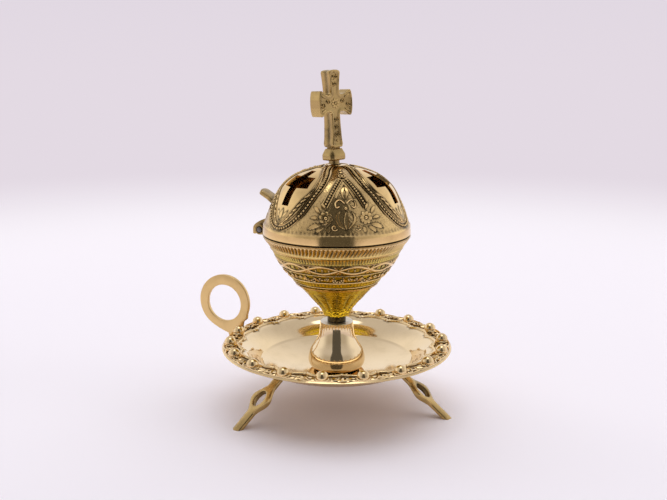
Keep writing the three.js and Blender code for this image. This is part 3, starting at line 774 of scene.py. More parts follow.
def emboss_rim(bm, sizes):
    """Dips the rim between its beads and inside the scallops, by moving vertices."""
    film_and_shade = layer(bm, "film_and_shade")
    verts, _, angle, radius = polar(bm)
    cell = np.abs(((angle - sizes.first_bead) * sizes.bead_count / (2 * math.pi) + 0.5) % 1 - 0.5) * 2
    inner = scallop_inner(cell)
    outer = scallop_outer(cell)
    inside = np.clip((radius - inner) / (0.9 * MM), 0, 1) * np.clip((outer - radius) / (0.9 * MM), 0, 1)
    dip = 0.8 * MM * inside * np.clip(cell * 2.2 - 0.25, 0, 1) * np.clip((1 - cell) * 6, 0.25, 1)
    swell = 0.45 * MM * np.exp(-((radius - inner) / (0.9 * MM)) ** 2)
    swell = swell + 0.35 * MM * np.exp(-((radius - outer) / (0.8 * MM)) ** 2)
    for vert, down, up, level in zip(verts, dip, swell, inside):
        vert.co.z += up - down
        # Darker inside the scallops and in the dips: patina in the hollows, partly painted shade.
        vert[film_and_shade] = 0.15 * level + min(down / (1.3 * MM), 0.4)


def scallop_inner(cell):
    """Radius of the scallops' inner line, from a bead (0) to the cusp beside it (1)."""
    return DISH_RADIUS - (7.6 + 2.6 * np.asarray(cell) ** 2) * MM


def scallop_outer(cell):
    return DISH_RADIUS - (0.7 + 1.2 * np.asarray(cell) ** 3) * MM


def rim_ornament(sizes, skin):
    """The scallop and collar round a bead, with double dots at the cusps, flat around the bead's middle."""
    flat = new_mesh()
    half = math.pi / sizes.bead_count
    share = np.linspace(-1, 1, 25)

    def down(radius):
        return np.interp(radius, skin.line[:, 0], skin.down)

    def flat_line(radii):
        return np.stack([share * half * radii, down(radii)], axis=1)

    ridge(flat, flat_line(scallop_inner(np.abs(share))), 1.7 * MM, 1.0 * MM, step=1.0 * MM, sides=10)
    ridge(flat, flat_line(scallop_outer(np.abs(share))), 1.1 * MM, 0.75 * MM, step=1.0 * MM, sides=8)
    middle = down(DISH_RADIUS - sizes.bead_inset)
    cusp_in = down(DISH_RADIUS - 9.4 * MM)
    cusp_out = down(DISH_RADIUS - 3.4 * MM)
    reach = half * (DISH_RADIUS - 4 * MM)
    for side in (-1, 1):
        bead(flat, reach + side * 1.05 * MM, cusp_in, 1.0 * MM, 1.15 * MM, sides=10, rings=6)
        leaf(flat, [(reach, cusp_out + 1.7 * MM), (reach + side * 2.6 * MM, cusp_out - 0.3 * MM)],
             1.8 * MM, 1.05 * MM, vein=0.2 * MM)
    leaf(flat, [(reach, cusp_out + 1.8 * MM), (reach, cusp_out - 1.9 * MM)], 1.6 * MM, 1.25 * MM)
    collar = arc((0, middle), sizes.bead_radius + 0.1 * MM, 0, 360, 26)
    ridge(flat, collar, 1.2 * MM, 0.85 * MM, closed=True, sides=8)
    for side in (-1, 1):
        curl = [(side * 3.3 * MM, middle + 1.4 * MM), (side * 4.6 * MM, middle + 2.0 * MM),
                (side * 6.4 * MM, middle + 1.0 * MM), (side * 7.4 * MM, middle - 0.8 * MM)]
        ridge(flat, smooth_line(curl, 12), 0.9 * MM, 0.6 * MM)
        leaf(flat, [(side * 3.4 * MM, middle - 0.4 * MM), (side * 6.8 * MM, middle - 1.0 * MM)],
             1.7 * MM, 0.75 * MM, vein=0.2 * MM)
    return flat


def bead_angles(sizes):
    return [sizes.first_bead + 2 * math.pi * k / sizes.bead_count for k in range(sizes.bead_count)]


def rim_beads(bm, sizes):
    """The round beads, a little larger and lower than the frame's."""
    beads = new_mesh()
    film_and_shade = layer(beads, "film_and_shade")
    size = sizes.bead_radius * 1.1
    height = DISH_BEAD_TOP - size - 0.5 * MM
    radius = DISH_RADIUS - sizes.bead_inset
    for angle in bead_angles(sizes):
        place = Matrix.LocRotScale(
            (AXIS_X + radius * math.cos(angle), radius * math.sin(angle), height),
            None, (size,) * 3)
        bmesh.ops.create_uvsphere(beads, u_segments=24, v_segments=14, radius=1, matrix=place)
    # Painted shade on the lower part of each bead.
    for vert in beads.verts:
        vert[film_and_shade] = min(1.0, max(0.0, (height - size * 0.2 - vert.co.z) / (1.2 * MM))) * 0.6
    absorb(bm, beads)


class CENSER_OT_dish(Operator):
    """Model the dish with its beaded, scalloped rim"""

    bl_idname = "censer.dish"
    bl_label = "Dish"

    def execute(self, context):
        sizes = context.scene.censer_sizes
        bm, skin = dish_mesh(sizes)
        emboss_rim(bm, sizes)
        plain = [vert for vert in bm.verts if vert[layer(bm, "along")] > skin.length - 12 * MM]
        ornament = stamped_round(rim_ornament(sizes, skin), skin, bead_angles(sizes), 0.45)
        dress(bm, ornament, plain, 0.9 * MM)
        rim_beads(bm, sizes)
        for face in bm.faces:
            middle = face.calc_center_median()
            reach = math.hypot(middle.x - AXIS_X, middle.y)
            if reach > DISH_RADIUS - 10 * MM and middle.z > dish_rim_top() - 2 * MM:
                face.material_index = 1
        piece("beaded_dish", bm, "stand", ["Polished brass", "Rim brass"], ["dish"],
              smooth=50)
        return {"FINISHED"}


# Legs

LEG_ANGLES = {"leg_right": 3, "leg_back": 120, "leg_front": 237}
LEG_SLOPE = math.radians(41.5)
LEG_THICKNESS = 2.8 * MM
LEG_WIDTH = 5.4 * MM
LEG_EYE_CENTRE = 19.2 * MM
LEG_EYE_WIDTH = 12.6 * MM
LEG_EYE_LENGTH = 16 * MM
LEG_HOLE_WIDTH = 6.6 * MM
LEG_HOLE_LENGTH = 8.4 * MM
LEG_SPLAY = 2.3 * MM
LEG_START, LEG_END = -6 * MM, 42 * MM  # up the slope, before the leg is cut to fit


def leg_half_width(x):
    off = min(abs(x - LEG_EYE_CENTRE) / (LEG_EYE_LENGTH / 2), 1)
    return LEG_WIDTH / 2 + (LEG_EYE_WIDTH - LEG_WIDTH) / 2 * math.cos(off * math.pi / 2) ** 2


def dish_underside(radius):
    sizes = bpy.context.scene.censer_sizes
    under = offset(dish_line(*DISH_UNDERSIDE), -sizes.dish_wall - sizes.seat_gap)
    return float(np.interp(radius, under[:, 0], under[:, 1]))


def leg_mesh():
    """A leg drawn flat, x up the slope, y across and z outward, cut along and across for the ridge down its
    face.
    """
    bm = new_mesh()
    eye_start, eye_end = LEG_EYE_CENTRE - 8 * MM, LEG_EYE_CENTRE + 8 * MM
    stations = np.concatenate([np.linspace(LEG_START, eye_start, 6)[:-1], np.linspace(eye_start, eye_end, 17),
                               np.linspace(eye_end, LEG_END, 6)[1:]])
    right = [(x, -leg_half_width(x)) for x in stations]
    left = [(x, leg_half_width(x)) for x in stations[::-1]]
    turns = np.linspace(0, 2 * math.pi, 37)[:-1]
    eye = [(LEG_EYE_CENTRE + LEG_HOLE_LENGTH / 2 * math.cos(turn), LEG_HOLE_WIDTH / 2 * math.sin(turn))
           for turn in turns]
    plate(bm, right + left, LEG_THICKNESS, eye)
    eased(bm, 0.5 * MM)
    for k in range(-8, 43):
        bisected(bm, (k * MM, 0, 0), (1, 0, 0))
    for share in (-0.5, 0, 0.5):
        bisected(bm, (0, share * LEG_WIDTH, 0), (0, 1, 0))
    return bm


def shape_leg(bm):
    """Raises the ridge, and darkens a ring round the eye as painted shade, more on the inner face."""
    film_and_shade = layer(bm, "film_and_shade")
    for vert in bm.verts:
        x, y, z = vert.co
        if z > 0.3 * LEG_THICKNESS:
            half = leg_half_width(x)
            shank = min(1.0, abs(x - LEG_EYE_CENTRE) / (LEG_EYE_LENGTH / 2))
            vert.co.z -= 0.85 * MM * (abs(y) / half) * shank ** 2
        hole = math.hypot((x - LEG_EYE_CENTRE) / LEG_HOLE_LENGTH, y / LEG_HOLE_WIDTH) * 2
        # Painted shade round the eye's edge, stronger on the inner face.
        vert[film_and_shade] = max(0.0, 1 - abs(hole - 1) / 0.16) * (0.3 if z > 0 else 0.7)


def stand_leg(bm, angle):
    """Puts the leg on its slope, cuts it level with the table and fits it under the dish."""
    up = Vector((-math.cos(LEG_SLOPE), 0, math.sin(LEG_SLOPE)))
    across = Vector((0, 1, 0))
    away = across.cross(up)
    foot = Vector((DISH_RADIUS + LEG_SPLAY, 0, 0))
    for vert in bm.verts:
        x, y, z = vert.co
        vert.co = foot + up * x + across * y + away * (z - LEG_THICKNESS / 2)
    bisected(bm, (0, 0, 0), (0, 0, -1), clear_outer=True)
    bmesh.ops.holes_fill(bm, edges=[edge for edge in bm.edges if edge.is_boundary])
    for vert in bm.verts:
        for _ in range(3):
            over = vert.co.z - dish_underside(math.hypot(vert.co.x, vert.co.y))
            if over > 0:
                vert.co -= up * over / up.z
    rotate(bm, math.radians(angle), "Z")
    move(bm, AXIS_X, 0, 0)


class CENSER_OT_legs(Operator):
    """Model the three pierced legs under the dish"""

    bl_idname = "censer.legs"
    bl_label = "Legs"

    def execute(self, context):
        for node, angle in LEG_ANGLES.items():
            bm = leg_mesh()
            shape_leg(bm)
            stand_leg(bm, angle)
            piece(node.replace("leg", "cast_leg"), bm, "stand", ["Cast brass"], [node])
        return {"FINISHED"}


# Finger ring

RING_RADIUS = 14.4 * MM
RING_BORE = 9.7 * MM
RING_BORE_DROP = 0.6 * MM
RING_THICKNESS = 2.2 * MM
RING_REACH = 6.3 * MM
RING_RISE = 14.9 * MM
RING_STEP_DROP = 8.2 * MM
RING_FOOT_REACH = 4.2 * MM
RING_TAIL_ANGLE = -48
RING_TAIL_REACH = 17 * MM
RING_TAIL_DEPTH = 5.2 * MM
RING_TAIL_END = 1.1 * MM


def ring_centre():
    return DISH_RADIUS + RING_REACH, dish_rim_top() + RING_RISE


def ring_outline(sizes):
    """The teardrop over the rim, the slot for the rim and the tail under it, as (outward, up)."""
    x, z = ring_centre()
    rim = dish_rim_top()
    under = rim - sizes.dish_wall
    foot = DISH_RADIUS + RING_FOOT_REACH
    tail = math.radians(RING_TAIL_ANGLE)
    start = np.array([x + RING_RADIUS * math.cos(tail), z + RING_RADIUS * math.sin(tail)])
    bend = start + 4.8 * MM * np.array([math.sin(tail), -math.cos(tail)])
    curve = bezier([(foot, under), bend, start], np.linspace(0, 1, 9)[:-1])
    flank = x - RING_RADIUS + 1.2 * MM
    step = z - RING_STEP_DROP
    stem = flank + 2.3 * MM
    side = [(flank, step + 2 * MM), (flank + 0.1 * MM, step + 0.3 * MM), (flank + 0.5 * MM, step - 0.3 * MM),
            (stem, step - 1.7 * MM), (stem + 0.25 * MM, step - 2.6 * MM),
            (stem + 0.7 * MM, rim + sizes.seat_gap)]
    reach = sizes.dish_wall / 2 + sizes.seat_gap
    nose = arc((DISH_RADIUS - sizes.dish_wall / 2, rim - sizes.dish_wall / 2), reach, 90, -90, 10)
    lower = offset(dish_line(*DISH_UNDERSIDE), -sizes.dish_wall - sizes.seat_gap)[::-1]
    inner = DISH_RADIUS - sizes.dish_rim_width
    edge_x = [DISH_RADIUS - RING_TAIL_REACH, inner, foot]
    edge_z = [under, under - RING_TAIL_DEPTH, under - RING_TAIL_END]
    seat = [tuple(p) for p in lower[2:] if p[1] > np.interp(p[0], edge_x, edge_z) + 0.2 * MM][::2]
    end = [(inner - 0.6 * MM, edge_z[1] + 0.45 * MM), (inner, edge_z[1]),
           (foot - 0.5 * MM, edge_z[2] - 0.1 * MM), (foot, edge_z[2] + 0.3 * MM)]
    teardrop = as_points(curve) + as_points(arc((x, z), RING_RADIUS, RING_TAIL_ANGLE, 190, 72))
    return teardrop + side + as_points(nose) + seat + end


class CENSER_OT_finger_ring(Operator):
    """Model the finger ring that straddles the dish's rim"""

    bl_idname = "censer.finger_ring"
    bl_label = "Finger Ring"

    def execute(self, context):
        x, z = ring_centre()
        bm = new_mesh()
        bore = arc((x, z - RING_BORE_DROP), RING_BORE, 0, 360, 80)[:-1]
        plate(bm, ring_outline(context.scene.censer_sizes), RING_THICKNESS, bore)
        eased(bm, 0.35 * MM, segments=3)
        upright(bm)
        to_hinge_side(bm)
        piece("ring_handle", bm, "stand", ["Filed brass"], ["finger_ring"])
        return {"FINISHED"}


# Pedestal

PEDESTAL_SHARES = [(0.79, 0), (0.94, 0.07), (1, 0.2), (0.93, 0.38), (0.77, 0.53), (0.655, 0.67),
                   (0.59, 0.86), (0.575, 1)]
PEDESTAL_BORE = 3.9 * MM
PEDESTAL_WALL, PEDESTAL_TOP_WALL = 1.8 * MM, 2.6 * MM


class CENSER_OT_pedestal(Operator):
    """Model the polished bell pedestal"""

    bl_idname = "censer.pedestal"
    bl_label = "Pedestal"

    def execute(self, context):
        height = PEDESTAL_TOP - PEDESTAL_BOTTOM
        shares = [(r * PEDESTAL_RADIUS, PEDESTAL_BOTTOM + h * height) for r, h in PEDESTAL_SHARES]
        outer = smooth_line(shares, 44)
        lip = 0.35 * MM
        shelf = PEDESTAL_TOP - PEDESTAL_TOP_WALL
        inner = [p for p in offset(outer, PEDESTAL_WALL) if PEDESTAL_BOTTOM < p[1] < shelf][::-2]
        outline = as_points(outer[:-1])
        outline += [(outer[-1][0], PEDESTAL_TOP - lip), (outer[-1][0] - lip, PEDESTAL_TOP)]
        outline += [(PEDESTAL_BORE + lip, PEDESTAL_TOP), (PEDESTAL_BORE, PEDESTAL_TOP - lip)]
        outline += [(PEDESTAL_BORE, shelf), (inner[0][0], shelf)] + as_points(inner)
        outline += [(PEDESTAL_SHARES[0][0] * PEDESTAL_RADIUS - PEDESTAL_WALL, PEDESTAL_BOTTOM)]
        bm = new_mesh()
        spun(bm, unmarked(outline), 96)
        for face in bm.faces:
            middle = face.calc_center_median()
            if abs(middle.z - PEDESTAL_TOP) < lip and abs(face.normal.z) > 0.4:
                face.material_index = 1
        piece("bell_pedestal", bm, "stand", ["Polished brass", "Faced brass"], ["pedestal"])
        return {"FINISHED"}


# Bowl

BOWL_SHARES = [(0.183, 0), (0.203, 0.043), (0.26, 0.119), (0.386, 0.2465), (0.57, 0.425),
               (0.765, 0.64), (0.91, 0.868), (0.978, 0.95), (1, 1)]
BOWL_NECK_HEIGHT = 3.3 * MM
BOWL_NECK_RADIUS = 4.6 * MM
SPIGOT_RADIUS = 3.6 * MM
TAP_RADIUS = 2.8 * MM
TAP_DEPTH = 7 * MM
BOWL_FLOOR_SHARE = 0.28

# Distances down the bowl from its rim
PLAIN_BAND = 1.3 * MM
GADROON_END = 6.9 * MM
HATCH_START, HATCH_END = 7.8 * MM, 11.1 * MM
BRAID_MIDDLE, BRAID_SWING = 14.2 * MM, 2.1 * MM
DOTS_START, DOTS_END = 23.6 * MM, 26.2 * MM
PETAL_START, PETAL_END = 30 * MM, 52 * MM
BOWL_SECTORS = 12
HATCHES, DOTS = 132, 84  # round the bowl

# The lines round the bowl: distance down, width and height, in millimetres
BOWL_LINES = ((0.8, 0.5, 0.18), (7.3, 0.5, 0.3), (11.5, 0.5, 0.28), (17.6, 0.5, 0.3), (22.9, 0.7, 0.36),
              (26.9, 0.5, 0.3), (29.0, 1.5, 0.55))


def bowl_line():
    bottom = PEDESTAL_TOP + BOWL_NECK_HEIGHT
    height = BOWL_RIM - bottom
    shares = [(r * BOWL_RADIUS, bottom + h * height) for r, h in BOWL_SHARES]
    return evenly(smooth_line(shares, 400)[::-1], 0.52 * MM)


def bowl_mesh(sizes):
    outer = bowl_line()
    skin = Skin(outer)
    bottom = PEDESTAL_TOP + BOWL_NECK_HEIGHT
    shoulder = PEDESTAL_TOP + sizes.seat_gap
    floor = bottom + BOWL_FLOOR_SHARE * (BOWL_RIM - bottom)
    inner = [tuple(p) for p in offset(outer, -sizes.bowl_wall)[2::6] if p[1] > floor + sizes.bowl_wall]
    lip = 0.3 * MM
    inner_rim = BOWL_RADIUS - sizes.bowl_wall
    rounding = [(inner_rim, BOWL_RIM - lip), (inner_rim + lip, BOWL_RIM), (BOWL_RADIUS - lip, BOWL_RIM)]
    hollow = [(0, floor), (inner[-1][0] * 0.3, floor + 0.05 * MM), (inner[-1][0] * 0.7, floor + 0.7 * MM)]
    under = [(BOWL_NECK_RADIUS + 0.3 * MM, bottom), (BOWL_NECK_RADIUS, bottom - 0.3 * MM),
             (BOWL_NECK_RADIUS, shoulder), (SPIGOT_RADIUS, shoulder), (SPIGOT_RADIUS, SPIGOT_BOTTOM),
             (TAP_RADIUS, SPIGOT_BOTTOM), (TAP_RADIUS, bottom + TAP_DEPTH), (0, bottom + TAP_DEPTH)]
    marked = [(r, z, d) for (r, z), d in zip(outer, skin.down)]
    marked[0] = (BOWL_RADIUS, BOWL_RIM - lip, 0.0)
    bm = new_mesh()
    spun(bm, marked + unmarked(under + hollow + inner[::-1] + rounding), 672, sectors=16)
    film_and_shade = layer(bm, "film_and_shade")
    # Painted shade: everything below the bowl's foot is darkened.
    for vert in bm.verts:
        if vert.co.z < bottom - 0.1 * MM:
            vert[film_and_shade] = 1.0
    return bm, skin


def chase_bowl(bm, sizes):
    """Cuts the gadroons, the hatched and dotted bands, the petals and the dents."""
    film_and_shade = layer(bm, "film_and_shade")
    verts, down, angle, _ = polar(bm)
    low = (down - PLAIN_BAND) / (GADROON_END - PLAIN_BAND)
    rib = 0.5 - 0.5 * np.cos(sizes.gadroons * (angle + 0.01 * low + 0.035 * low ** 2))
    gadroon = window(down, PLAIN_BAND, GADROON_END, 0.8 * MM) * (1 - rib ** 0.6)
    hatch = window(down, HATCH_START, HATCH_END, 0.5 * MM) * (0.5 + 0.5 * np.cos(angle * HATCHES)) ** 1.2
    rows = 0.6 + 0.4 * np.cos((down - DOTS_START) * 2 * math.pi / (1.3 * MM))
    dots = window(down, DOTS_START, DOTS_END, 0.5 * MM) * (0.5 + 0.5 * np.cos(angle * DOTS)) * rows
    arch = 1 - np.abs(np.sin(angle * sizes.petals / 2)) ** 0.6
    petal = window(down, PETAL_START, PETAL_END, 7 * MM) * arch
    ripple = down * 2 * math.pi / (1.9 * MM) + 1.6 * np.sin(angle * 9) + 0.8 * np.sin(angle * 23 + down * 700)
    dent = np.sin(angle * 17 + 2.5 * np.sin(down * 800))
    dent = dent * np.sin(down * 2 * math.pi / (3.1 * MM) + 2 * np.sin(angle * 5))
    chatter = window(down, 26 * MM, 56 * MM, 2 * MM) * (0.5 + 0.3 * np.cos(ripple) + 0.45 * dent)
    strip = window(down, GADROON_END, HATCH_START, 0.4 * MM)
    ground = window(down, HATCH_END, DOTS_START, 0.6 * MM)
    cut = sizes.gadroon_depth * gadroon + 0.36 * MM * hatch + 0.3 * MM * dots
    cut = cut + 0.35 * MM * petal + 0.26 * MM * chatter - 0.15 * MM * strip + 0.15 * MM * ground
    # Darker in the grooves, hatching, dots, petals and dents: patina in the hollows, partly painted shade.
    hollow_film_and_shade = 0.9 * gadroon + 0.8 * hatch + 1.0 * dots + 0.5 * petal + 0.4 * ground + 0.3 * chatter
    carve(verts, cut)
    for vert, level in zip(verts, hollow_film_and_shade):
        vert[film_and_shade] = max(vert[film_and_shade], min(1.0, float(level)))


def shade_the_joint(bm):
    """Darkens the meeting edges of the lid and the bowl: painted shade in the gap between them."""
    film_and_shade = layer(bm, "film_and_shade")
    for vert in bm.verts:
        if abs(vert.co.z - (BOWL_RIM + LID_BOTTOM) / 2) < 0.3 * MM:
            vert[film_and_shade] = 1.0


def bowl_ornament(skin):
    """The lines, braid and scrolls of one twelfth of the bowl, flat around its middle."""
    flat = new_mesh()
    half = math.pi / BOWL_SECTORS
    share = np.linspace(-1, 1, 19)

    for down, width, height in np.array(BOWL_LINES) * MM:
        reach = half * skin.radius(down)
        ridge(flat, [(-reach, down), (reach, down)], width, height, step=1.6 * MM)
    for side in (-1, 1):
        down = BRAID_MIDDLE + side * BRAID_SWING * np.cos(math.pi / 2 * share)
        strand = np.stack([share * half * skin.radius(BRAID_MIDDLE), down], axis=1)
        ridge(flat, strand, 1.45 * MM, 0.45 * MM, step=0.8 * MM, sides=8)
        for x in (-0.5, 0, 0.5):
            bead(flat, x * 6.2 * MM, BRAID_MIDDLE + side * (0.42 - 0.2 * abs(x)) * MM, 0.42 * MM, 0.34 * MM)
        edge = side * half * skin.radius(BRAID_MIDDLE)
        for swing in (-1, 1):
            tip = (edge - side * 1.9 * MM, BRAID_MIDDLE + swing * 2.5 * MM)
            leaf(flat, [(edge, BRAID_MIDDLE + swing * 0.8 * MM), tip],
                 1.0 * MM, 0.36 * MM, vein=0.14 * MM, rings=6)
        x = side * 0.5 * half * skin.radius(20 * MM)
        ridge(flat, scroll((x + side * 1.6 * MM, 20.6 * MM), 1.5 * MM, 90 - side * 90, 1.2, side),
              0.6 * MM, 0.5 * MM, step=0.55 * MM)
        ridge(flat, scroll((x - side * 1.9 * MM, 19.6 * MM), 1.2 * MM, 90 + side * 90, 1.1, -side),
              0.55 * MM, 0.46 * MM, step=0.55 * MM)
        leaf(flat, [(x - side * 1.2 * MM, 22.2 * MM), (x + side * 1.6 * MM, 18.3 * MM)],
             1.2 * MM, 0.5 * MM, vein=0.12 * MM, rings=6)
    return flat


class CENSER_OT_bowl(Operator):
    """Model the chased bowl"""

    bl_idname = "censer.bowl"
    bl_label = "Bowl"

    def execute(self, context):
        sizes = context.scene.censer_sizes
        bm, skin = bowl_mesh(sizes)
        chase_bowl(bm, sizes)
        shade_the_joint(bm)
        plain = [vert for vert in bm.verts if 10 * MM < vert[layer(bm, "along")] < 30 * MM]
        places = [2 * math.pi * (k + 0.3) / BOWL_SECTORS for k in range(BOWL_SECTORS)]
        dress(bm, stamped_round(bowl_ornament(skin), skin, places), plain, 0.75 * MM)
        piece("chased_bowl", bm, "stand", ["Bowl brass"], ["bowl"], smooth=50)
        return {"FINISHED"}


# Lid

DOME_SHARES = [(0, 1), (0.19, 0.985), (0.37, 0.93), (0.6, 0.812), (0.765, 0.635),
               (0.88, 0.385), (0.955, 0.17), (1, 0)]
LID_HOLE = 2.2 * MM
TOP_LINE = 5.6 * MM  # of the ridge round the finial, down from the dome's top
LID_THIN_WALL = 1.4 * MM  # away from the finial's washer
VENT_ANGLES = (0, 120, 240)
FLUTES = 102  # round the dome, above its band
VENT_HALF = [(1.75, 13.8), (2.5, 19.8), (7.56, 20.1), (9.0, 27.5), (2.5, 27.8), (2.5, 37.2)]

# Half the lines of a field round a vent, across and down from the dome's top, in millimetres
BORDER_HALF = [(3.4, 7.4), (6.6, 12.2), (10.4, 17), (13.0, 21), (14.6, 24.4), (15.3, 28), (14.7, 32),
               (13.7, 36), (12.1, 40), (9.6, 43.4), (6.9, 46), (3.5, 47.8), (0, 48.4)]
ARCH_HALF = [(1.5, 20.8), (2.9, 23.6), (4.6, 26.8), (6.3, 30), (7.9, 33), (9.6, 36)]
FIELD_HALF = [(0, 9.3), (3.6, 10.4), (6.2, 14), (8.7, 18), (10.8, 22.6), (11.9, 26.8), (11.2, 30.4),
              (8.9, 34.2), (7.0, 37.9), (4.9, 41), (2.5, 44.2), (0, 46)]
SPINE_HALF = [(11.9, 29.8), (10.4, 34), (8.1, 38.6), (5.2, 42.8), (1.2, 46.4)]
CURL_HALF = [(0.4, 34.4), (2.6, 32.6), (4.6, 34.2), (4.2, 36.4), (2.9, 35.8)]

# Leaves of half a panel: tail, tip and width, in millimetres
PANEL_LEAVES = [
    ((11.4, 44.4), (18.2, 47.0), 2.3), ((10.2, 45.4), (14.6, 48.6), 1.9), ((11.9, 39.6), (14.6, 36.2), 1.8),
    ((9.2, 37.6), (11.0, 34.4), 1.5), ((12.6, 42.0), (16.6, 41.6), 1.6), ((7.6, 45.2), (8.8, 48.4), 1.7)]


def lid_band_top():
    return LID_BOTTOM + bpy.context.scene.censer_sizes.lid_band


def dome_line(sizes):
    bottom = lid_band_top()
    radius = BOWL_RADIUS - sizes.band_proud
    shares = [(r * radius, bottom + h * (LID_TOP - bottom)) for r, h in DOME_SHARES]
    return smooth_line(shares, 400)


def lid_mesh(sizes):
    dome = dome_line(sizes)
    skin = Skin(dome)
    line = np.array([p for p in evenly(dome, 0.42 * MM) if p[0] > LID_HOLE])
    thinner = np.clip((line[:, 0] / MM - 8) / 4, 0, 1)[:, None] * (sizes.lid_wall - LID_THIN_WALL)
    inner = offset(line, -sizes.lid_wall)
    inner = inner + (line - inner) / sizes.lid_wall * thinner
    inner = [tuple(p) for p in inner[::6] if p[0] > LID_HOLE]
    edge = 0.4 * MM
    top = lid_band_top() - sizes.band_proud
    dome_radius = BOWL_RADIUS - sizes.band_proud
    band = [(BOWL_RADIUS - 0.2 * MM, top - 0.1 * MM), (BOWL_RADIUS - 0.05 * MM, top - 1.0 * MM),
            (BOWL_RADIUS, LID_BOTTOM + edge), (BOWL_RADIUS - edge, LID_BOTTOM),
            (dome_radius - sizes.lid_wall, LID_BOTTOM)]
    marked = [(r, z, np.interp(r, dome[:, 0], skin.down)) for r, z in line]
    bm = new_mesh()
    start = [(LID_HOLE, LID_TOP - sizes.lid_wall), (LID_HOLE, LID_TOP - 0.02 * MM)]
    spun(bm, marked + unmarked(band + inner[::-1] + start), 480, sectors=16)
    return bm, skin


def distance_to(path, across, down):
    """How far flat points lie from a path."""
    nearest = np.full(len(across), np.inf)
    for x, y in evenly(path, 0.25 * MM):
        nearest = np.minimum(nearest, np.hypot(across - x, down - y))
    return nearest


def half_width(half_line, down):
    """Half the width of a field's line at a distance down the dome, in metres."""
    table = np.array(half_line) * MM
    return np.interp(down, table[:, 1], table[:, 0], left=0, right=0)


def chase_dome(bm, sizes):
    """Sinks the ground round the smooth fields, cuts the short flutes and swells the dome's foot."""
    film_and_shade, ground = layer(bm, "film_and_shade"), layer(bm, "ground")
    verts, down, angle, radius = polar(bm)
    sector = (angle + math.pi / 3) % (2 * math.pi / 3) - math.pi / 3
    across = np.abs(sector) * radius
    inside = np.clip((half_width(FIELD_HALF, down) - across) / (0.6 * MM) + 1, 0, 1)
    sunk = (1 - inside) * np.clip((down - 5 * MM) / (2 * MM), 0, 1) * np.clip((50 * MM - down) / MM, 0, 1)
    border = distance_to(smooth_line(np.array(BORDER_HALF) * MM, 90), across, down)
    panel = (angle % (2 * math.pi / 3)) - math.pi / 3
    arch = distance_to(smooth_line(np.array(ARCH_HALF) * MM, 40), np.abs(panel) * radius, down)
    channel = np.clip((1.2 * MM - np.minimum(border, arch)) / (0.35 * MM), 0, 1)
    beyond = across > half_width(BORDER_HALF, down) + 1.6 * MM
    flute = window(down, 48.0 * MM, 50.0 * MM, 0.6 * MM) * (0.5 + 0.5 * np.cos(angle * FLUTES)) * beyond
    matting = np.sin(across * 3600 + 3 * np.sin(down * 1500))
    matting = 0.5 + 0.5 * matting * np.sin(down * 3100 + 2 * np.sin(across * 1100))
    cut = sizes.ground_depth * sunk + 0.22 * MM * channel + 0.14 * MM * flute + 0.13 * MM * sunk * matting
    swell = np.clip((down - 40 * MM) / (down.max() - 40 * MM), 0, 1) ** 0.8 * 0.6 * MM
    # Darker in the sunk ground, flutes and channels: patina in the hollows, partly painted shade.
    hollow_film_and_shade = np.maximum(0.16 * sunk + 0.3 * flute, channel)
    carve(verts, cut - swell)
    for vert, dark, level in zip(verts, hollow_film_and_shade, sunk):
        vert[film_and_shade] = float(dark)
        vert[ground] = float(level)


def cut_vents(bm, skin, sizes):
    """Cuts the three crosses with cutters laid on the dome."""
    obj = linked("plain dome", mesh_of(bm, "plain dome"))
    half = [np.array(p) * MM for p in VENT_HALF]
    outline = half + [p * (-1, 1) for p in half[::-1]]
    for degrees in VENT_ANGLES:
        bm = new_mesh()
        bmesh.ops.subdivide_edges(bm, edges=loop_of(bm, outline), cuts=6)
        bmesh.ops.contextual_create(bm, geom=bm.edges[:])
        thickened(bm, 10 * MM)
        bmesh.ops.triangulate(bm, faces=bm.faces)
        move(bm, 0, 0, -sizes.lid_wall / 2)
        skin.lay(bm.verts[:], math.radians(degrees))
        outward(bm)
        boolean = obj.modifiers.new("vent", "BOOLEAN")
        boolean.operation = "DIFFERENCE"
        boolean.solver = "EXACT"
        boolean.object = linked("vent cutter", mesh_of(bm, "vent cutter"))
    bpy.context.view_layer.update()
    cut = bpy.data.meshes.new_from_object(obj.evaluated_get(bpy.context.evaluated_depsgraph_get()))
    for spent in [modifier.object for modifier in obj.modifiers] + [obj]:
        bpy.data.objects.remove(spent)
    bm = bmesh.new()
    bm.from_mesh(cut)
    bpy.data.meshes.remove(cut)
    return bm


def field_ornament():
    """The beaded border, smooth field's edge and palm leaves round a vent, flat about its middle."""
    flat = new_mesh()
    border = smooth_line(np.array(BORDER_HALF) * MM, 90)
    for side in (1, -1):
        line = border * (side, 1)
        bead_row(flat, line[:-1], 1.5 * MM, 0.58 * MM, 0.52 * MM)
        for shift, width, height in ((1.45, 0.55, 0.3), (-1.4, 0.55, 0.3), (2.35, 0.35, 0.18)):
            ridge(flat, offset(line, side * shift * MM), width * MM, height * MM)
        field = smooth_line(np.array(FIELD_HALF) * MM, 60) * (side, 1)
        ridge(flat, field, 0.5 * MM, 0.34 * MM)
        for k in range(7):
            share = k / 6
            foot = np.array([1.6 + 8.6 * (1 - share) ** 0.75, 46.2 - 13.6 * (1 - share)]) * MM
            tip = foot + np.array([2.9 - 1.1 * share, -2.3 + 1.3 * share]) * MM
            leaf(flat, [foot * (side, 1), tip * (side, 1)], 1.15 * MM, 0.42 * MM, vein=0.14 * MM, rings=6)
        ridge(flat, smooth_line(np.array(SPINE_HALF) * MM, 24) * (side, 1), 0.45 * MM, 0.36 * MM)
    leaf(flat, [(0, 38.6 * MM), (0, 45 * MM)], 2.6 * MM, 0.45 * MM, vein=0.2 * MM)
    for side in (-1, 1):
        leaf(flat, [(side * 1.0 * MM, 43.5 * MM), (side * 3.7 * MM, 39.4 * MM)],
             1.2 * MM, 0.36 * MM, vein=0.14 * MM)
    return flat


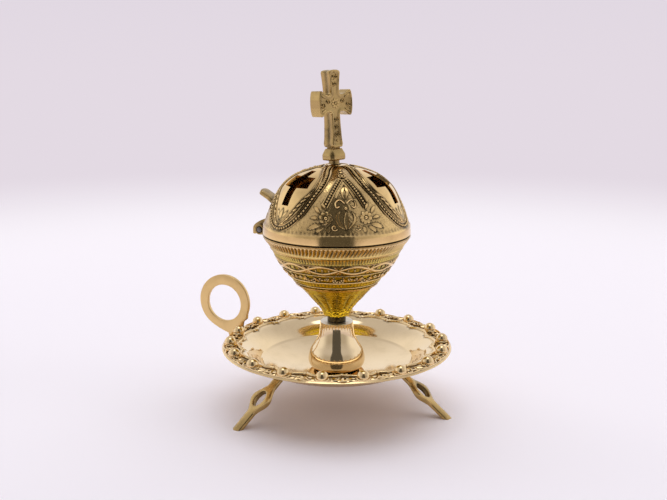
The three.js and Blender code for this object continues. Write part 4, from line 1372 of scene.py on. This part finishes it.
def panel_ornament():
    """The beaded arch, bud, flowers and leaves between two fields, flat about the panel's middle."""
    flat = new_mesh()
    ridge(flat, arc((0, 17.9 * MM), 1.45 * MM, 0, 360, 20), 0.5 * MM, 0.4 * MM, step=0.6 * MM, closed=True)
    bead(flat, 0, 17.9 * MM, 0.7 * MM, 0.55 * MM, longer=1.3)
    for down in (14.2 * MM, 11.6 * MM):
        bead(flat, 0, down, 0.8 * MM, 0.45 * MM, longer=1.2)
    for side in (1, -1):
        line = smooth_line(np.array(ARCH_HALF) * MM, 30) * (side, 1)
        bead_row(flat, line, 1.45 * MM, 0.55 * MM, 0.5 * MM)
        for shift in (-1.3, 1.3):
            ridge(flat, offset(line, side * shift * MM), 0.5 * MM, 0.3 * MM)
        chevron = smooth_line(np.array([(0.2, 24.2), (2.0, 27.6), (4.2, 31.8)]) * MM, 12) * (side, 1)
        ridge(flat, chevron, 0.6 * MM, 0.34 * MM)
        leaf(flat, [(0, 25.4 * MM), (side * 1.3 * MM, 28.6 * MM), (side * 0.4 * MM, 32.6 * MM)], 1.7 * MM,
             0.45 * MM, vein=0.16 * MM)
        curl = smooth_line(np.array(CURL_HALF) * MM, 20)
        ridge(flat, curl * (side, 1), 0.62 * MM, 0.46 * MM, step=0.6 * MM)
        tulip = smooth_line(np.array([(0.5, 46.6), (3.2, 44.2), (4.1, 40.6), (2.4, 37.9)]) * MM, 16)
        leaf(flat, tulip * (side, 1), 1.7 * MM, 0.5 * MM, vein=0.18 * MM, rings=10)
        ridge(flat, scroll((side * 5.6 * MM, 45.6 * MM), 1.5 * MM, 90 + side * 60, 1.1, -side),
              0.45 * MM, 0.36 * MM, step=0.5 * MM)
        flower(flat, side * 9.3 * MM, 41.4 * MM, 3.3 * MM)
        for tail, tip, width in PANEL_LEAVES:
            spine = np.array([tail, ((tail[0] + tip[0]) / 2, (tail[1] + tip[1]) / 2 - 0.5), tip]) * MM
            leaf(flat, smooth_line(spine, 8) * (side, 1), width * MM, 0.45 * MM, vein=0.17 * MM)
    leaf(flat, [(0, 46.9 * MM), (0, 38.3 * MM)], 2.5 * MM, 0.55 * MM, vein=0.2 * MM)
    bead(flat, 0, 36.7 * MM, 0.75 * MM, 0.55 * MM)
    return flat


class CENSER_OT_lid(Operator):
    """Model the pierced and chased dome"""

    bl_idname = "censer.lid"
    bl_label = "Lid"

    def execute(self, context):
        sizes = context.scene.censer_sizes
        bm, skin = lid_mesh(sizes)
        chase_dome(bm, sizes)
        shade_the_joint(bm)
        bm = cut_vents(bm, skin, sizes)
        plain = [vert for vert in bm.verts if vert[layer(bm, "along")] > 0]
        ring = new_mesh()
        reach = math.pi * skin.radius(TOP_LINE)
        ridge(ring, [(-reach, TOP_LINE), (reach, TOP_LINE)], 0.7 * MM, 0.35 * MM)
        ornament = stamped_round(ring, skin, [0])
        for flat, first in ((field_ornament(), 0), (panel_ornament(), 60)):
            places = [math.radians(first + degrees) for degrees in VENT_ANGLES]
            absorb(ornament, stamped_round(flat, skin, places))
        dress(bm, ornament, plain, 0.85 * MM)
        piece("pierced_lid", bm, "cover", ["Chased brass"], ["lid"], smooth=45)
        return {"FINISHED"}


# Hinge and thumb lever

EAR_WALL = 0.95 * MM
RUNNING_GAP = 0.3 * MM
CLAW_WIDTH = 3.4 * MM
EAR_THICKNESS = 2.2 * MM
LEVER_WIDTH, LEVER_THICKNESS, LEVER_LENGTH = 7.6 * MM, 2.2 * MM, 10.6 * MM
LEVER_ROOT = 1.4 * MM  # hidden length, which is fitted to the dome
LEVER_HEIGHT = 10.2 * MM  # above the lid's band
LEVER_SLOPE = math.radians(31)


def hole_for(outline, centre, radius):
    """As many points round a hole as the outline has, in the same order."""
    turns = [math.atan2(y - centre[1], x - centre[0]) for x, y in outline]
    return [(centre[0] + radius * math.cos(t), centre[1] + radius * math.sin(t)) for t in turns]


def pin_centre():
    """The pin's middle, outward from the censer's axis and up."""
    return AXIS_X - PIN_X, PIN_Z


def hinge_ear(sizes):
    x, z = pin_centre()
    radius = PIN_RADIUS + RUNNING_GAP + EAR_WALL
    inner = BOWL_RADIUS + sizes.seat_gap
    top = BOWL_RIM - sizes.seat_gap
    outline = as_points(arc((x, z), radius, -90, 165, 26))
    outline += [(inner + 1.2 * MM, top), (inner, top), (inner, z - 0.4 * MM), (inner, z - radius + 0.9 * MM),
                (inner + 1.4 * MM, z - radius + 0.15 * MM)]
    return outline


class CENSER_OT_hinge(Operator):
    """Model the bowl's hinge ears, the lid's claw, the pin and the thumb lever"""

    bl_idname = "censer.hinge"
    bl_label = "Hinge and Lever"

    def execute(self, context):
        sizes = context.scene.censer_sizes
        self.ears(sizes)
        self.claw(sizes)
        self.pin()
        self.lever(sizes)
        return {"FINISHED"}

    def ears(self, sizes):
        bm = new_mesh()
        outline = hinge_ear(sizes)
        middle = CLAW_WIDTH / 2 + RUNNING_GAP + EAR_THICKNESS / 2
        for side in (-1, 1):
            ear = new_mesh()
            plate(ear, outline, EAR_THICKNESS, hole_for(outline, pin_centre(), PIN_RADIUS + RUNNING_GAP))
            eased(ear, 0.3 * MM)
            move(ear, 0, 0, side * middle)
            absorb(bm, ear)
        inner = BOWL_RADIUS + sizes.seat_gap
        top, foot = BOWL_RIM - sizes.seat_gap, PIN_Z - 2.2 * MM
        web = [(inner, top), (inner, foot), (inner + 0.5 * MM, foot), (inner + 0.7 * MM, top)]
        face = bm.faces.new([bm.verts.new((x, y, -middle)) for x, y in web])
        extruded(bm, [face], 2 * middle)
        self.shade_round_pin(bm)
        upright(bm)
        to_hinge_side(bm)
        piece("hinge_ears", bm, "stand", ["Cast brass"], ["bowl_hinge_lug"])

    def claw(self, sizes):
        x, z = pin_centre()
        boss = PIN_RADIUS + RUNNING_GAP + EAR_WALL
        outer = x + 4.8 * MM
        tip = z - 2.7 * MM
        dome = BOWL_RADIUS + sizes.seat_gap
        brow = [(x - 1.5 * MM, z + 5.2 * MM), (outer, z + 2.7 * MM), (outer, z)]
        outline = [(dome - 1.7 * MM, z + 6.4 * MM)] + as_points(bezier(brow, np.linspace(0, 1, 12)))
        outline += [(outer, tip + 0.4 * MM), (outer - 0.4 * MM, tip), (outer - 1.2 * MM, tip),
                    (outer - 1.6 * MM, tip + 0.5 * MM)]
        outline += as_points(arc((x, z), boss, -35, -178, 18))
        outline += [(dome, z + 1.6 * MM), (dome, lid_band_top() - sizes.band_proud + sizes.seat_gap),
                    (dome - 1.0 * MM, lid_band_top() + 0.4 * MM)]
        bm = new_mesh()
        plate(bm, outline, CLAW_WIDTH, hole_for(outline, (x, z), PIN_RADIUS + RUNNING_GAP))
        eased(bm, 0.3 * MM)
        self.shade_round_pin(bm)
        upright(bm)
        to_hinge_side(bm)
        piece("hinge_claw", bm, "cover", ["Cast brass"], ["lid_hinge_claw"])

    def shade_round_pin(self, bm):
        """Darkens the metal round the pin: painted shade where the pin passes between the ears and the claw.
        """
        film_and_shade = layer(bm, "film_and_shade")
        x, z = pin_centre()
        for vert in bm.verts:
            distance = math.hypot(vert.co.x - x, vert.co.y - z) - PIN_RADIUS
            vert[film_and_shade] = max(0.0, 1 - distance / (1.2 * MM))

    def pin(self):
        bm = new_mesh()
        low, high = edge_of("hinge_pin", LOW, Y), edge_of("hinge_pin", HIGH, Y)
        crown = 0.35 * MM
        outline = [(0, low), (PIN_RADIUS * 0.75, low + crown * 0.3), (PIN_RADIUS, low + crown),
                   (PIN_RADIUS, high - crown), (PIN_RADIUS * 0.75, high - crown * 0.3), (0, high)]
        spun(bm, unmarked(outline), 28, centre_x=0)
        upright(bm)
        move(bm, PIN_X, 0, PIN_Z)
        piece("hinge_rivet", bm, "stand", ["Dull steel"], ["hinge_pin"])

    def lever(self, sizes):
        half = LEVER_WIDTH / 2
        rounded = LEVER_LENGTH - half * 0.7
        tip = bezier([(rounded, -half), (LEVER_LENGTH, -half), (LEVER_LENGTH, half), (rounded, half)],
                     np.linspace(0, 1, 15))
        outline = [(-LEVER_ROOT, -half), (rounded * 0.5, -half)] + as_points(tip)
        outline += [(rounded * 0.5, half), (-LEVER_ROOT, half)]
        bm = new_mesh()
        plate(bm, outline, LEVER_THICKNESS)
        eased(bm, 0.4 * MM, segments=3)
        move(bm, 0, 0, -LEVER_THICKNESS / 2)
        rotate(bm, -LEVER_SLOPE, "Y")
        dome = dome_line(sizes)
        level = lid_band_top() + LEVER_HEIGHT
        move(bm, float(np.interp(-level, -dome[:, 1], dome[:, 0])), 0, level)
        skin = Skin(dome + Skin(dome).out * (sizes.seat_gap + 0.06 * MM))
        film_and_shade = layer(bm, "film_and_shade")
        for vert in bm.verts:
            least = float(np.interp(-vert.co.z, -skin.line[:, 1], skin.line[:, 0]))
            reach = math.sqrt(max(least ** 2 - vert.co.y ** 2, 0.0))
            if vert.co.x < reach:
                vert.co.x = reach
                # Painted shade where the lever meets the dome.
                vert[film_and_shade] = 1.0
        to_hinge_side(bm)
        piece("lever_plate", bm, "cover", ["Cast brass"], ["thumb_lever"])


# Cross finial

CROSS_TURN = math.radians(64)
CROSS_HEIGHT = 36.2 * MM
CROSS_SPAN = 20.6 * MM
CROSS_ARM_HEIGHT = 20.7 * MM
CROSS_THICKNESS = 6.2 * MM
CROSS_SUNK = 0.42 * MM
COLLAR_HEIGHT = 4.7 * MM
STEM_HEIGHT = 2.1 * MM
NECK_HEIGHT = 1.5 * MM
STEM_RADIUS = 2.75 * MM
STUD_RADIUS = 1.9 * MM

# The finial was screwed on by hand, a little to one side and leaning
LEAN_AXIS = Vector((-0.383, 0.924, 0))
FINIAL_LEAN = math.radians(-2.6)
FINIAL_SHIFT = 1.2 * MM


def cross_outline():
    """The upright and the flared arms with their rounded ends, about the arms' middle."""
    bar, arm, flare, end = 2.6 * MM, 3.7 * MM, 6.2 * MM, CROSS_SPAN / 2
    top = CROSS_HEIGHT - CROSS_ARM_HEIGHT
    foot = CROSS_ARM_HEIGHT
    edge = [(bar + 0.4 * MM, arm + 0.35 * MM), (bar + 2.0 * MM, arm + 0.3 * MM), (end * 0.62, arm + 0.8 * MM),
            (end * 0.72, arm + 1.5 * MM), (end * 0.8, flare - 0.35 * MM), (end * 0.86, flare - 0.05 * MM),
            (end * 0.91, flare - 0.35 * MM), (end * 0.95, flare - 1.3 * MM), (end * 0.98, flare - 2.9 * MM),
            (end * 0.995, flare * 0.3)]
    upper = [(0, top), (1.6 * MM, top - 0.12 * MM), (2.8 * MM, top - 0.5 * MM), (3.3 * MM, top - 1.3 * MM),
             (3.0 * MM, top - 4 * MM), (2.65 * MM, top - 8 * MM), (bar, arm + 1.2 * MM)] + edge
    lower = [(x, -y) for x, y in edge[::-1]]
    lower += [(bar, -arm - 1.2 * MM), (bar, -arm - 6 * MM), (2.85 * MM, -foot + 4.4 * MM),
              (3.2 * MM, -foot + 1.6 * MM), (2.8 * MM, -foot + 0.3 * MM), (2.4 * MM, -foot), (0, -foot)]
    right = upper + [(end, 0)] + lower
    left = [(-x, y) for x, y in right[::-1][1:-1]]
    return right + left


def cross_relief():
    """Scrolls and beads on a face of the cross, flat about the arms' middle."""
    flat = new_mesh()
    for side in (-1, 1):
        for k, (y, radius) in enumerate(((12.2, 1.15), (8.9, 1.0), (-7.6, 1.0), (-11.0, 1.1), (-14.6, 1.2))):
            handed = side if k % 2 else -side
            ridge(flat, scroll((side * 0.55 * MM, y * MM), radius * MM, 90 * side, 1.3, handed),
                  0.5 * MM, 0.4 * MM, step=0.45 * MM)
        for x, turn in ((4.4, 1), (7.6, -1)):
            start = 0 if side > 0 else 180
            ridge(flat, scroll((side * x * MM, turn * 0.7 * MM), 1.35 * MM, start, 1.3, turn * side),
                  0.5 * MM, 0.4 * MM, step=0.45 * MM)
        for up in (-1, 1):
            leaf(flat, [(side * 5.6 * MM, up * 2.4 * MM), (side * 9.0 * MM, up * 4.2 * MM)],
                 1.2 * MM, 0.4 * MM, vein=0.1 * MM)
    flower(flat, 0, 0, 2.6 * MM, petals=8)
    bead(flat, 0, 14.4 * MM, 0.6 * MM, 0.5 * MM)
    bead(flat, 0, -17.4 * MM, 0.7 * MM, 0.5 * MM)
    return flat


def cross_body():
    """The flared cross in the XY plane, with sunk faces and grooved sides."""
    bm = new_mesh()
    outline = cross_outline()
    plate(bm, outline, CROSS_THICKNESS)
    eased(bm, 0.5 * MM, segments=3, sharper_than=50)
    step = 0.62 * MM
    for k in range(-16, 17):
        bisected(bm, (k * step, 0, 0), (1, 0, 0))
    for k in range(-33, 26):
        bisected(bm, (0, k * step, 0), (0, 1, 0))
    for share in (-0.3, -0.18, -0.06, 0.06, 0.18, 0.3):
        bisected(bm, (0, 0, share * CROSS_THICKNESS), (0, 0, 1))
    spots = np.array([vert.co for vert in bm.verts])
    inset = distance_to(outline + outline[:1], spots[:, 0], spots[:, 1])
    bm.normal_update()
    film_and_shade = layer(bm, "film_and_shade")
    for vert, spot, reach in zip(bm.verts, spots, inset):
        if abs(spot[0]) > 5 * MM and abs(spot[2]) < 0.4 * CROSS_THICKNESS:
            continue
        across = abs(spot[2]) / CROSS_THICKNESS
        if across > 0.45:
            sunk = min(max((reach - 0.75 * MM) / (0.4 * MM), 0.0), 1.0)
            vert.co.z -= math.copysign(CROSS_SUNK * sunk, spot[2])
            # Darker in the sunk faces near their edges: patina, partly painted shade.
            vert[film_and_shade] = 0.5 * sunk * (1 - min(max((reach - 1.3 * MM) / MM, 0.0), 0.6))
        elif across < 0.25 and reach < 0.2 * MM:
            groove = 0.5 + 0.5 * math.cos(across * 4 * math.pi)
            vert.co -= vert.normal * 0.4 * MM * groove
            # Patina and painted shade in the grooves of the sides.
            vert[film_and_shade] = 0.75 * groove
    return bm


def thread(radius, depth, pitch, start, end):
    """Outline points of thread grooves round a shank."""
    points = []
    while start + pitch < end:
        points += [(radius - depth, start + pitch / 2), (radius, start + pitch)]
        start += pitch
    return points


class CENSER_OT_finial(Operator):
    """Model the cross, its collar, stem and stud"""

    bl_idname = "censer.finial"
    bl_label = "Cross Finial"

    def execute(self, context):
        bm = cross_body()
        relief = cross_relief()
        film_and_shade = layer(relief, "film_and_shade")
        for vert in relief.verts:
            # Painted shade and patina at the foot of the relief.
            vert[film_and_shade] = max(0.0, 1 - vert.co.z / (0.2 * MM))
            vert.co.z += CROSS_THICKNESS / 2 - CROSS_SUNK
        join(bm, relief)
        bmesh.ops.scale(relief, verts=relief.verts, vec=(1, 1, -1))
        bmesh.ops.reverse_faces(relief, faces=relief.faces)
        absorb(bm, relief)
        middle = LID_TOP + STEM_HEIGHT + COLLAR_HEIGHT + NECK_HEIGHT + CROSS_ARM_HEIGHT
        for vert in bm.verts:
            away, aside = vert.co.y / (CROSS_HEIGHT / 2), vert.co.x / (CROSS_SPAN / 2)
            vert.co.z *= 1 + 0.14 * away ** 2 + 0.22 * aside ** 2
        upright(bm)
        move(bm, 0, 0, middle)
        self.collar(bm)
        self.stem(bm, context.scene.censer_sizes)
        rotate(bm, CROSS_TURN, "Z")
        above = [vert for vert in bm.verts if vert.co.z > LID_TOP + 0.1 * MM]
        rotate(bm, FINIAL_LEAN, LEAN_AXIS, above, (0, 0, LID_TOP))
        move(bm, *(LEAN_AXIS.cross((0, 0, 1)) * -FINIAL_SHIFT), above)
        move(bm, AXIS_X, 0, 0)
        piece("cross_and_collar", bm, "cover", ["Cast brass"], ["cross_finial"])
        return {"FINISHED"}

    def add(self, target, source, film_and_shade):
        """Joins one mesh to another, evenly darkened by the given amount."""
        for vert in source.verts:
            vert[layer(source, "film_and_shade")] = film_and_shade
        absorb(target, source)

    def collar(self, target):
        x, y, corner = 5.0 * MM, 4.4 * MM, 1.7 * MM
        bottom = LID_TOP + STEM_HEIGHT
        outline = [(x, corner - y), (x, y - corner), (x - corner, y), (corner - x, y),
                   (-x, y - corner), (-x, corner - y), (corner - x, -y), (x - corner, -y)]
        bm = new_mesh()
        plate(bm, outline, COLLAR_HEIGHT * 0.5)
        for sign, inset, share in ((1, 1.5 * MM, 0.6), (-1, 0.9 * MM, 0.09)):
            faces = [face for face in bm.faces if face.normal.z * sign > 0.9]
            bmesh.ops.inset_region(bm, faces=faces, thickness=inset, depth=COLLAR_HEIGHT * share,
                                   use_even_offset=True)
        eased(bm, 0.4 * MM, segments=2, sharper_than=20)
        low = min(vert.co.z for vert in bm.verts)
        move(bm, 0, 0, bottom - low)
        self.add(target, bm, 0.15)
        neck = new_mesh()
        shape = [(3.1 * MM, -2.6 * MM), (3.1 * MM, 2.6 * MM), (-3.1 * MM, 2.6 * MM), (-3.1 * MM, -2.6 * MM)]
        height = NECK_HEIGHT + 2.2 * MM
        plate(neck, shape, height)
        flanks = [e for e in neck.edges if abs(e.verts[0].co.z - e.verts[1].co.z) > MM]
        bmesh.ops.subdivide_edges(neck, edges=flanks, cuts=3)
        for vert in neck.verts:
            pinch = 1 - 0.22 * math.cos(vert.co.z / height * math.pi)
            vert.co.x *= pinch
            vert.co.y *= pinch
        eased(neck, 0.3 * MM, sharper_than=30)
        move(neck, 0, 0, bottom + COLLAR_HEIGHT + NECK_HEIGHT / 2)
        self.add(target, neck, 0.6)

    def stem(self, target, sizes):
        """The stem above the lid and the threaded stud through it."""
        bottom = edge_of("cross_finial", LOW, Z)
        shoulder = LID_TOP + sizes.seat_gap
        top = LID_TOP + STEM_HEIGHT + 0.5 * MM
        outline = [(0, bottom), (STUD_RADIUS - 0.4 * MM, bottom), (STUD_RADIUS, bottom + 0.4 * MM)]
        outline += thread(STUD_RADIUS, 0.22 * MM, 0.7 * MM, bottom + 0.6 * MM, LID_TOP - 0.5 * MM)
        outline += [(STUD_RADIUS, shoulder), (STEM_RADIUS, shoulder),
                    (STEM_RADIUS * 0.93, shoulder + 0.8 * MM), (STEM_RADIUS, top), (0, top)]
        bm = new_mesh()
        spun(bm, unmarked(outline), 32, centre_x=0)
        self.add(target, bm, 0.45)


# Screw, washers and nut

class CENSER_OT_fasteners(Operator):
    """Model the tie screw under the dish, the washers and the finial's nut"""

    bl_idname = "censer.fasteners"
    bl_label = "Screw, Washers and Nut"

    def execute(self, context):
        self.screw()
        for name, node, bore, body in (
                ("dish_screw_washer", "tie_washer", 2.8 * MM, "stand"),
                ("finial_lock_washer", "finial_washer", 2.2 * MM, "cover")):
            self.washer(name, node, bore, body)
        self.nut()
        return {"FINISHED"}

    def screw(self):
        """A cheese-head screw with a slot across its head and a cut thread."""
        low, high = edge_of("tie_screw", LOW, Z), edge_of("tie_screw", HIGH, Z)
        head, shank = 4.5 * MM, 2.5 * MM
        seat = low + 3.2 * MM
        cut = seat + 8 * MM  # where the thread starts
        outline = [(0, low), (head - 0.6 * MM, low), (head - 0.15 * MM, low + 0.2 * MM),
                   (head, low + 0.6 * MM), (head, seat - 0.1 * MM), (head - 0.1 * MM, seat),
                   (shank, seat), (shank, cut)]
        outline += thread(shank, 0.3 * MM, 0.8 * MM, cut, high - 0.7 * MM)
        outline += [(shank - 0.6 * MM, high), (0, high)]
        bm = new_mesh()
        spun(bm, unmarked(outline), 36)
        slot_half, slot_depth = 0.6 * MM, 1.4 * MM
        for sign in (-1, 1):
            for y in (slot_half, slot_half + 0.04 * MM):
                bisected(bm, (0, sign * y, 0), (0, 1, 0))
        film_and_shade = layer(bm, "film_and_shade")
        for vert in bm.verts:
            if abs(vert.co.y) < slot_half + 0.01 * MM and vert.co.z < low + slot_depth:
                vert.co.z = low + slot_depth
                # Painted shade in the slot.
                vert[film_and_shade] = 1.0
        piece("dish_screw", bm, "stand", ["Dull steel"], ["tie_screw"])

    def washer(self, name, node, bore, body):
        low, high = edge_of(node, LOW, Z), edge_of(node, HIGH, Z)
        radius = edge_of(node, HIGH, Y)
        ease = 0.2 * MM
        outline = [(bore, low + ease), (bore + ease, low), (radius - ease, low), (radius, low + ease),
                   (radius, high - ease), (radius - ease, high), (bore + ease, high), (bore, high - ease)]
        bm = new_mesh()
        spun(bm, unmarked(outline), 40)
        piece(name, bm, body, ["Dull steel"], [node])

    def nut(self):
        """A hexagon nut with both faces chamfered."""
        low, high = edge_of("finial_nut", LOW, Z), edge_of("finial_nut", HIGH, Z)
        across = edge_of("finial_nut", HIGH, Y)
        turns = [math.radians(k * 5) for k in range(72)]
        flats = [across / math.cos((turn + math.pi / 6) % (math.pi / 3) - math.pi / 6) for turn in turns]
        turned = [turn + math.pi / 6 for turn in turns]
        outline = [(r * math.cos(t), r * math.sin(t)) for r, t in zip(flats, turned)]
        bm = new_mesh()
        plate(bm, outline, high - low, hole_for(outline, (0, 0), STUD_RADIUS + 0.3 * MM))
        for vert in bm.verts:
            reach = math.hypot(vert.co.x, vert.co.y)
            if reach > across * 1.02:
                vert.co.z *= 1 - 0.9 * (reach / across - 1.02)
        move(bm, AXIS_X, 0, (low + high) / 2)
        piece("finial_hex_nut", bm, "cover", ["Dull steel"], ["finial_nut"], smooth=25)


# Stage

CAMERA_PLACE = (AXIS_X + 0.15744, -0.38419, 0.16810)
CAMERA_TURN = math.radians(22.5)
CAMERA_TILT = math.radians(12.04)
CAMERA_LENS = 46.79
FLOOR_HALF = 60
LAMP_AIM = (AXIS_X, 0, 0.05)
LAMPS = (  # name, place, size and power
    ("top softbox", (-0.1, 0.4, 1.4), (2.6, 2.4), 26.3),
    ("left softbox", (-1.1, 0.1, 0.7), (0.35, 0.8), 1.2),
    ("right softbox", (1.1, 0.2, 0.7), (0.35, 0.8), 1.2),
)

# What the brass reflects of the room, and its even fill light
ROOM_SIDES = (0.98, 0.96, 0.97, 1.0)
ROOM_CEILING = (0.63, 0.61, 0.63, 1.0)
ROOM_SKYLIGHT = (2.2, 2.2, 2.2, 1.0)
ROOM_FRONT = (0.50, 0.47, 0.45, 1.0)
CARD_COLOUR = (0.10, 0.095, 0.09, 1.0)
CARD_HALF_WIDTH, CARD_HEIGHT, CARD_DISTANCE = 0.16, 0.66, 0.33
ROOM_FILL = (0.30, 0.29, 0.31, 1.0)


def stage_colours(colours):
    """The near floor, the far floor and the top of the backdrop."""
    return [opaque(tuple(value)) for value in (colours.floor, colours.horizon, colours.backdrop)]


def floor_material(colours):
    """White paper near the censer, which fades into the backdrop far from it; the far floor glows in a darker
    colour, painted shade where the light falls off.
    """
    material, nodes = new_material("Floor paper")
    shader = nodes.tree.nodes["Principled BSDF"]
    near, far, _ = stage_colours(colours)
    where = nodes.place()
    paper = nodes.mix(nodes.noise(where, 3.0, 2.0), near, tuple(c * 0.985 for c in near))
    for key, value in (("Base Color", paper), ("Roughness", 0.85), ("Specular IOR Level", 0.15)):
        nodes.feed(shader.inputs[key], value)
    distance = nodes.add("ShaderNodeVectorMath", {0: where}, operation="LENGTH").outputs["Value"]
    seen = nodes.mix(nodes.ramp(distance, 0.4, 1.05), near, far)
    glow = nodes.glow(seen)
    path = nodes.add("ShaderNodeLightPath").outputs
    direct = nodes.maths("MAXIMUM", path["Is Camera Ray"], path["Is Glossy Ray"])
    blend = nodes.times(direct, nodes.ramp(distance, 0.22, 0.75))
    both = nodes.add("ShaderNodeMixShader", {0: blend, 1: shader.outputs[0], 2: glow})
    nodes.surface(both.outputs[0])
    return material


def area_lamp(name, place, size, power):
    """A soft lamp that no reflection shows, aimed at the censer's middle."""
    lamp = bpy.data.lights.new(name, "AREA")
    lamp.shape = "RECTANGLE"
    lamp.size, lamp.size_y = size
    lamp.energy = power
    obj = linked(name, lamp)
    obj.location = place
    obj.rotation_euler = (Vector(LAMP_AIM) - Vector(place)).to_track_quat("-Z", "Y").to_euler()
    obj.visible_glossy = False


def stage_sheet(name, bm, material):
    """A flat sheet of the stage."""
    mesh = mesh_of(bm, name)
    mesh.materials.append(material)
    obj = linked(name, mesh)
    return obj


def toward_front():
    """The way from the censer to the front of the room, level."""
    return Vector((CAMERA_PLACE[0] - AXIS_X, CAMERA_PLACE[1], 0)).normalized()


class CENSER_OT_stage(Operator):
    """Set up the camera, the pale floor and backdrop and the soft lamps"""

    bl_idname = "censer.stage"
    bl_label = "Stage"

    def execute(self, context):
        scene = context.scene
        colours = scene.censer_finishes
        self.camera(scene)
        self.floor(colours)
        self.card()
        self.world(scene, colours)
        for lamp in LAMPS:
            area_lamp(*lamp)
        scene.view_settings.view_transform = "Standard"
        return {"FINISHED"}

    def camera(self, scene):
        data = bpy.data.cameras.new("camera")
        data.lens = CAMERA_LENS
        data.sensor_width = 36
        data.clip_start = 0.01
        camera = linked("camera", data)
        camera.location = CAMERA_PLACE
        camera.rotation_euler = (math.pi / 2 - CAMERA_TILT, 0, CAMERA_TURN)
        scene.camera = camera

    def floor(self, colours):
        bm = bmesh.new()
        bmesh.ops.create_grid(bm, x_segments=2, y_segments=2, size=FLOOR_HALF)
        stage_sheet("floor", bm, floor_material(colours))

    def card(self):
        """A dark card before the censer, which only its reflection shows."""
        material, nodes = new_material("Card")
        nodes.surface(nodes.glow(CARD_COLOUR))
        toward = toward_front()
        middle = Vector((AXIS_X, 0, CARD_HEIGHT / 2)) + toward * CARD_DISTANCE
        bm = bmesh.new()
        bmesh.ops.create_grid(bm, x_segments=2, y_segments=2, size=1)
        bmesh.ops.scale(bm, verts=bm.verts, vec=(CARD_HALF_WIDTH, CARD_HEIGHT / 2, 1))
        turn = toward.to_track_quat("Z", "Y").to_matrix()
        bmesh.ops.transform(bm, verts=bm.verts, matrix=Matrix.Translation(middle) @ turn.to_4x4())
        obj = stage_sheet("card", bm, material)
        obj.visible_camera = obj.visible_diffuse = obj.visible_shadow = False

    def world(self, scene, colours):
        """A pale backdrop, painted a little darker toward its top, and for reflections a bright room that is
        dim toward its front.
        """
        world = bpy.data.worlds.new("world")
        world.use_nodes = True
        scene.world = world
        nodes = Nodes(world.node_tree)
        background = world.node_tree.nodes["Background"]
        _, far, top = stage_colours(colours)
        direction = nodes.add("ShaderNodeTexCoord").outputs["Generated"]
        up = nodes.add("ShaderNodeSeparateXYZ", {0: direction}).outputs["Z"]
        front = nodes.add("ShaderNodeVectorMath", {0: direction, 1: toward_front()}, operation="DOT_PRODUCT")
        level = nodes.maths("SQRT", nodes.maths("SUBTRACT", 1.0001, nodes.times(up, up)))
        front = nodes.maths("DIVIDE", front.outputs["Value"], level)
        room = nodes.mix(nodes.ramp(front, -0.1, 0.7), ROOM_SIDES, ROOM_FRONT)
        room = nodes.mix(nodes.ramp(up, 0.35, 0.8), room, ROOM_CEILING)
        room = nodes.mix(nodes.ramp(up, 0.955, 0.975), room, ROOM_SKYLIGHT)
        path = nodes.add("ShaderNodeLightPath").outputs
        backdrop = nodes.mix(nodes.ramp(up, -0.02, 0.12), far, top)
        shade = nodes.mix(path["Is Glossy Ray"], ROOM_FILL, room)
        shade = nodes.mix(path["Is Camera Ray"], shade, backdrop)
        nodes.feed(background.inputs["Color"], shade)
        nodes.feed(background.inputs["Strength"], 1.0)


# Panel, registration and the run

OPERATORS = (
    CENSER_OT_dish, CENSER_OT_legs, CENSER_OT_finger_ring, CENSER_OT_pedestal, CENSER_OT_bowl,
    CENSER_OT_lid, CENSER_OT_hinge, CENSER_OT_finial, CENSER_OT_fasteners, CENSER_OT_stage,
)


class CENSER_PT_pieces(Panel):
    """Lists the sizes, the colours and the pieces that can be made"""

    bl_idname = "CENSER_PT_pieces"
    bl_label = "Brass Home Censer"
    bl_space_type = "VIEW_3D"
    bl_region_type = "UI"
    bl_category = "Censer"

    def draw(self, context):
        layout = self.layout
        for group in (context.scene.censer_sizes, context.scene.censer_finishes):
            column = layout.column(align=True)
            for name in group.__annotations__:
                column.prop(group, name)
        column = layout.column(align=True)
        for operator in OPERATORS:
            column.operator(operator.bl_idname)


CLASSES = (CenserSizes, CenserFinishes, *OPERATORS, CENSER_PT_pieces)


def register():
    for cls in CLASSES:
        bpy.utils.register_class(cls)
    bpy.types.Scene.censer_sizes = PointerProperty(type=CenserSizes)
    bpy.types.Scene.censer_finishes = PointerProperty(type=CenserFinishes)


def unregister():
    del bpy.types.Scene.censer_finishes
    del bpy.types.Scene.censer_sizes
    for cls in reversed(CLASSES):
        bpy.utils.unregister_class(cls)


def main():
    register()
    for operator in OPERATORS:
        kind, name = operator.bl_idname.split(".")
        getattr(getattr(bpy.ops, kind), name)()


if __name__ == "__main__":
    main()
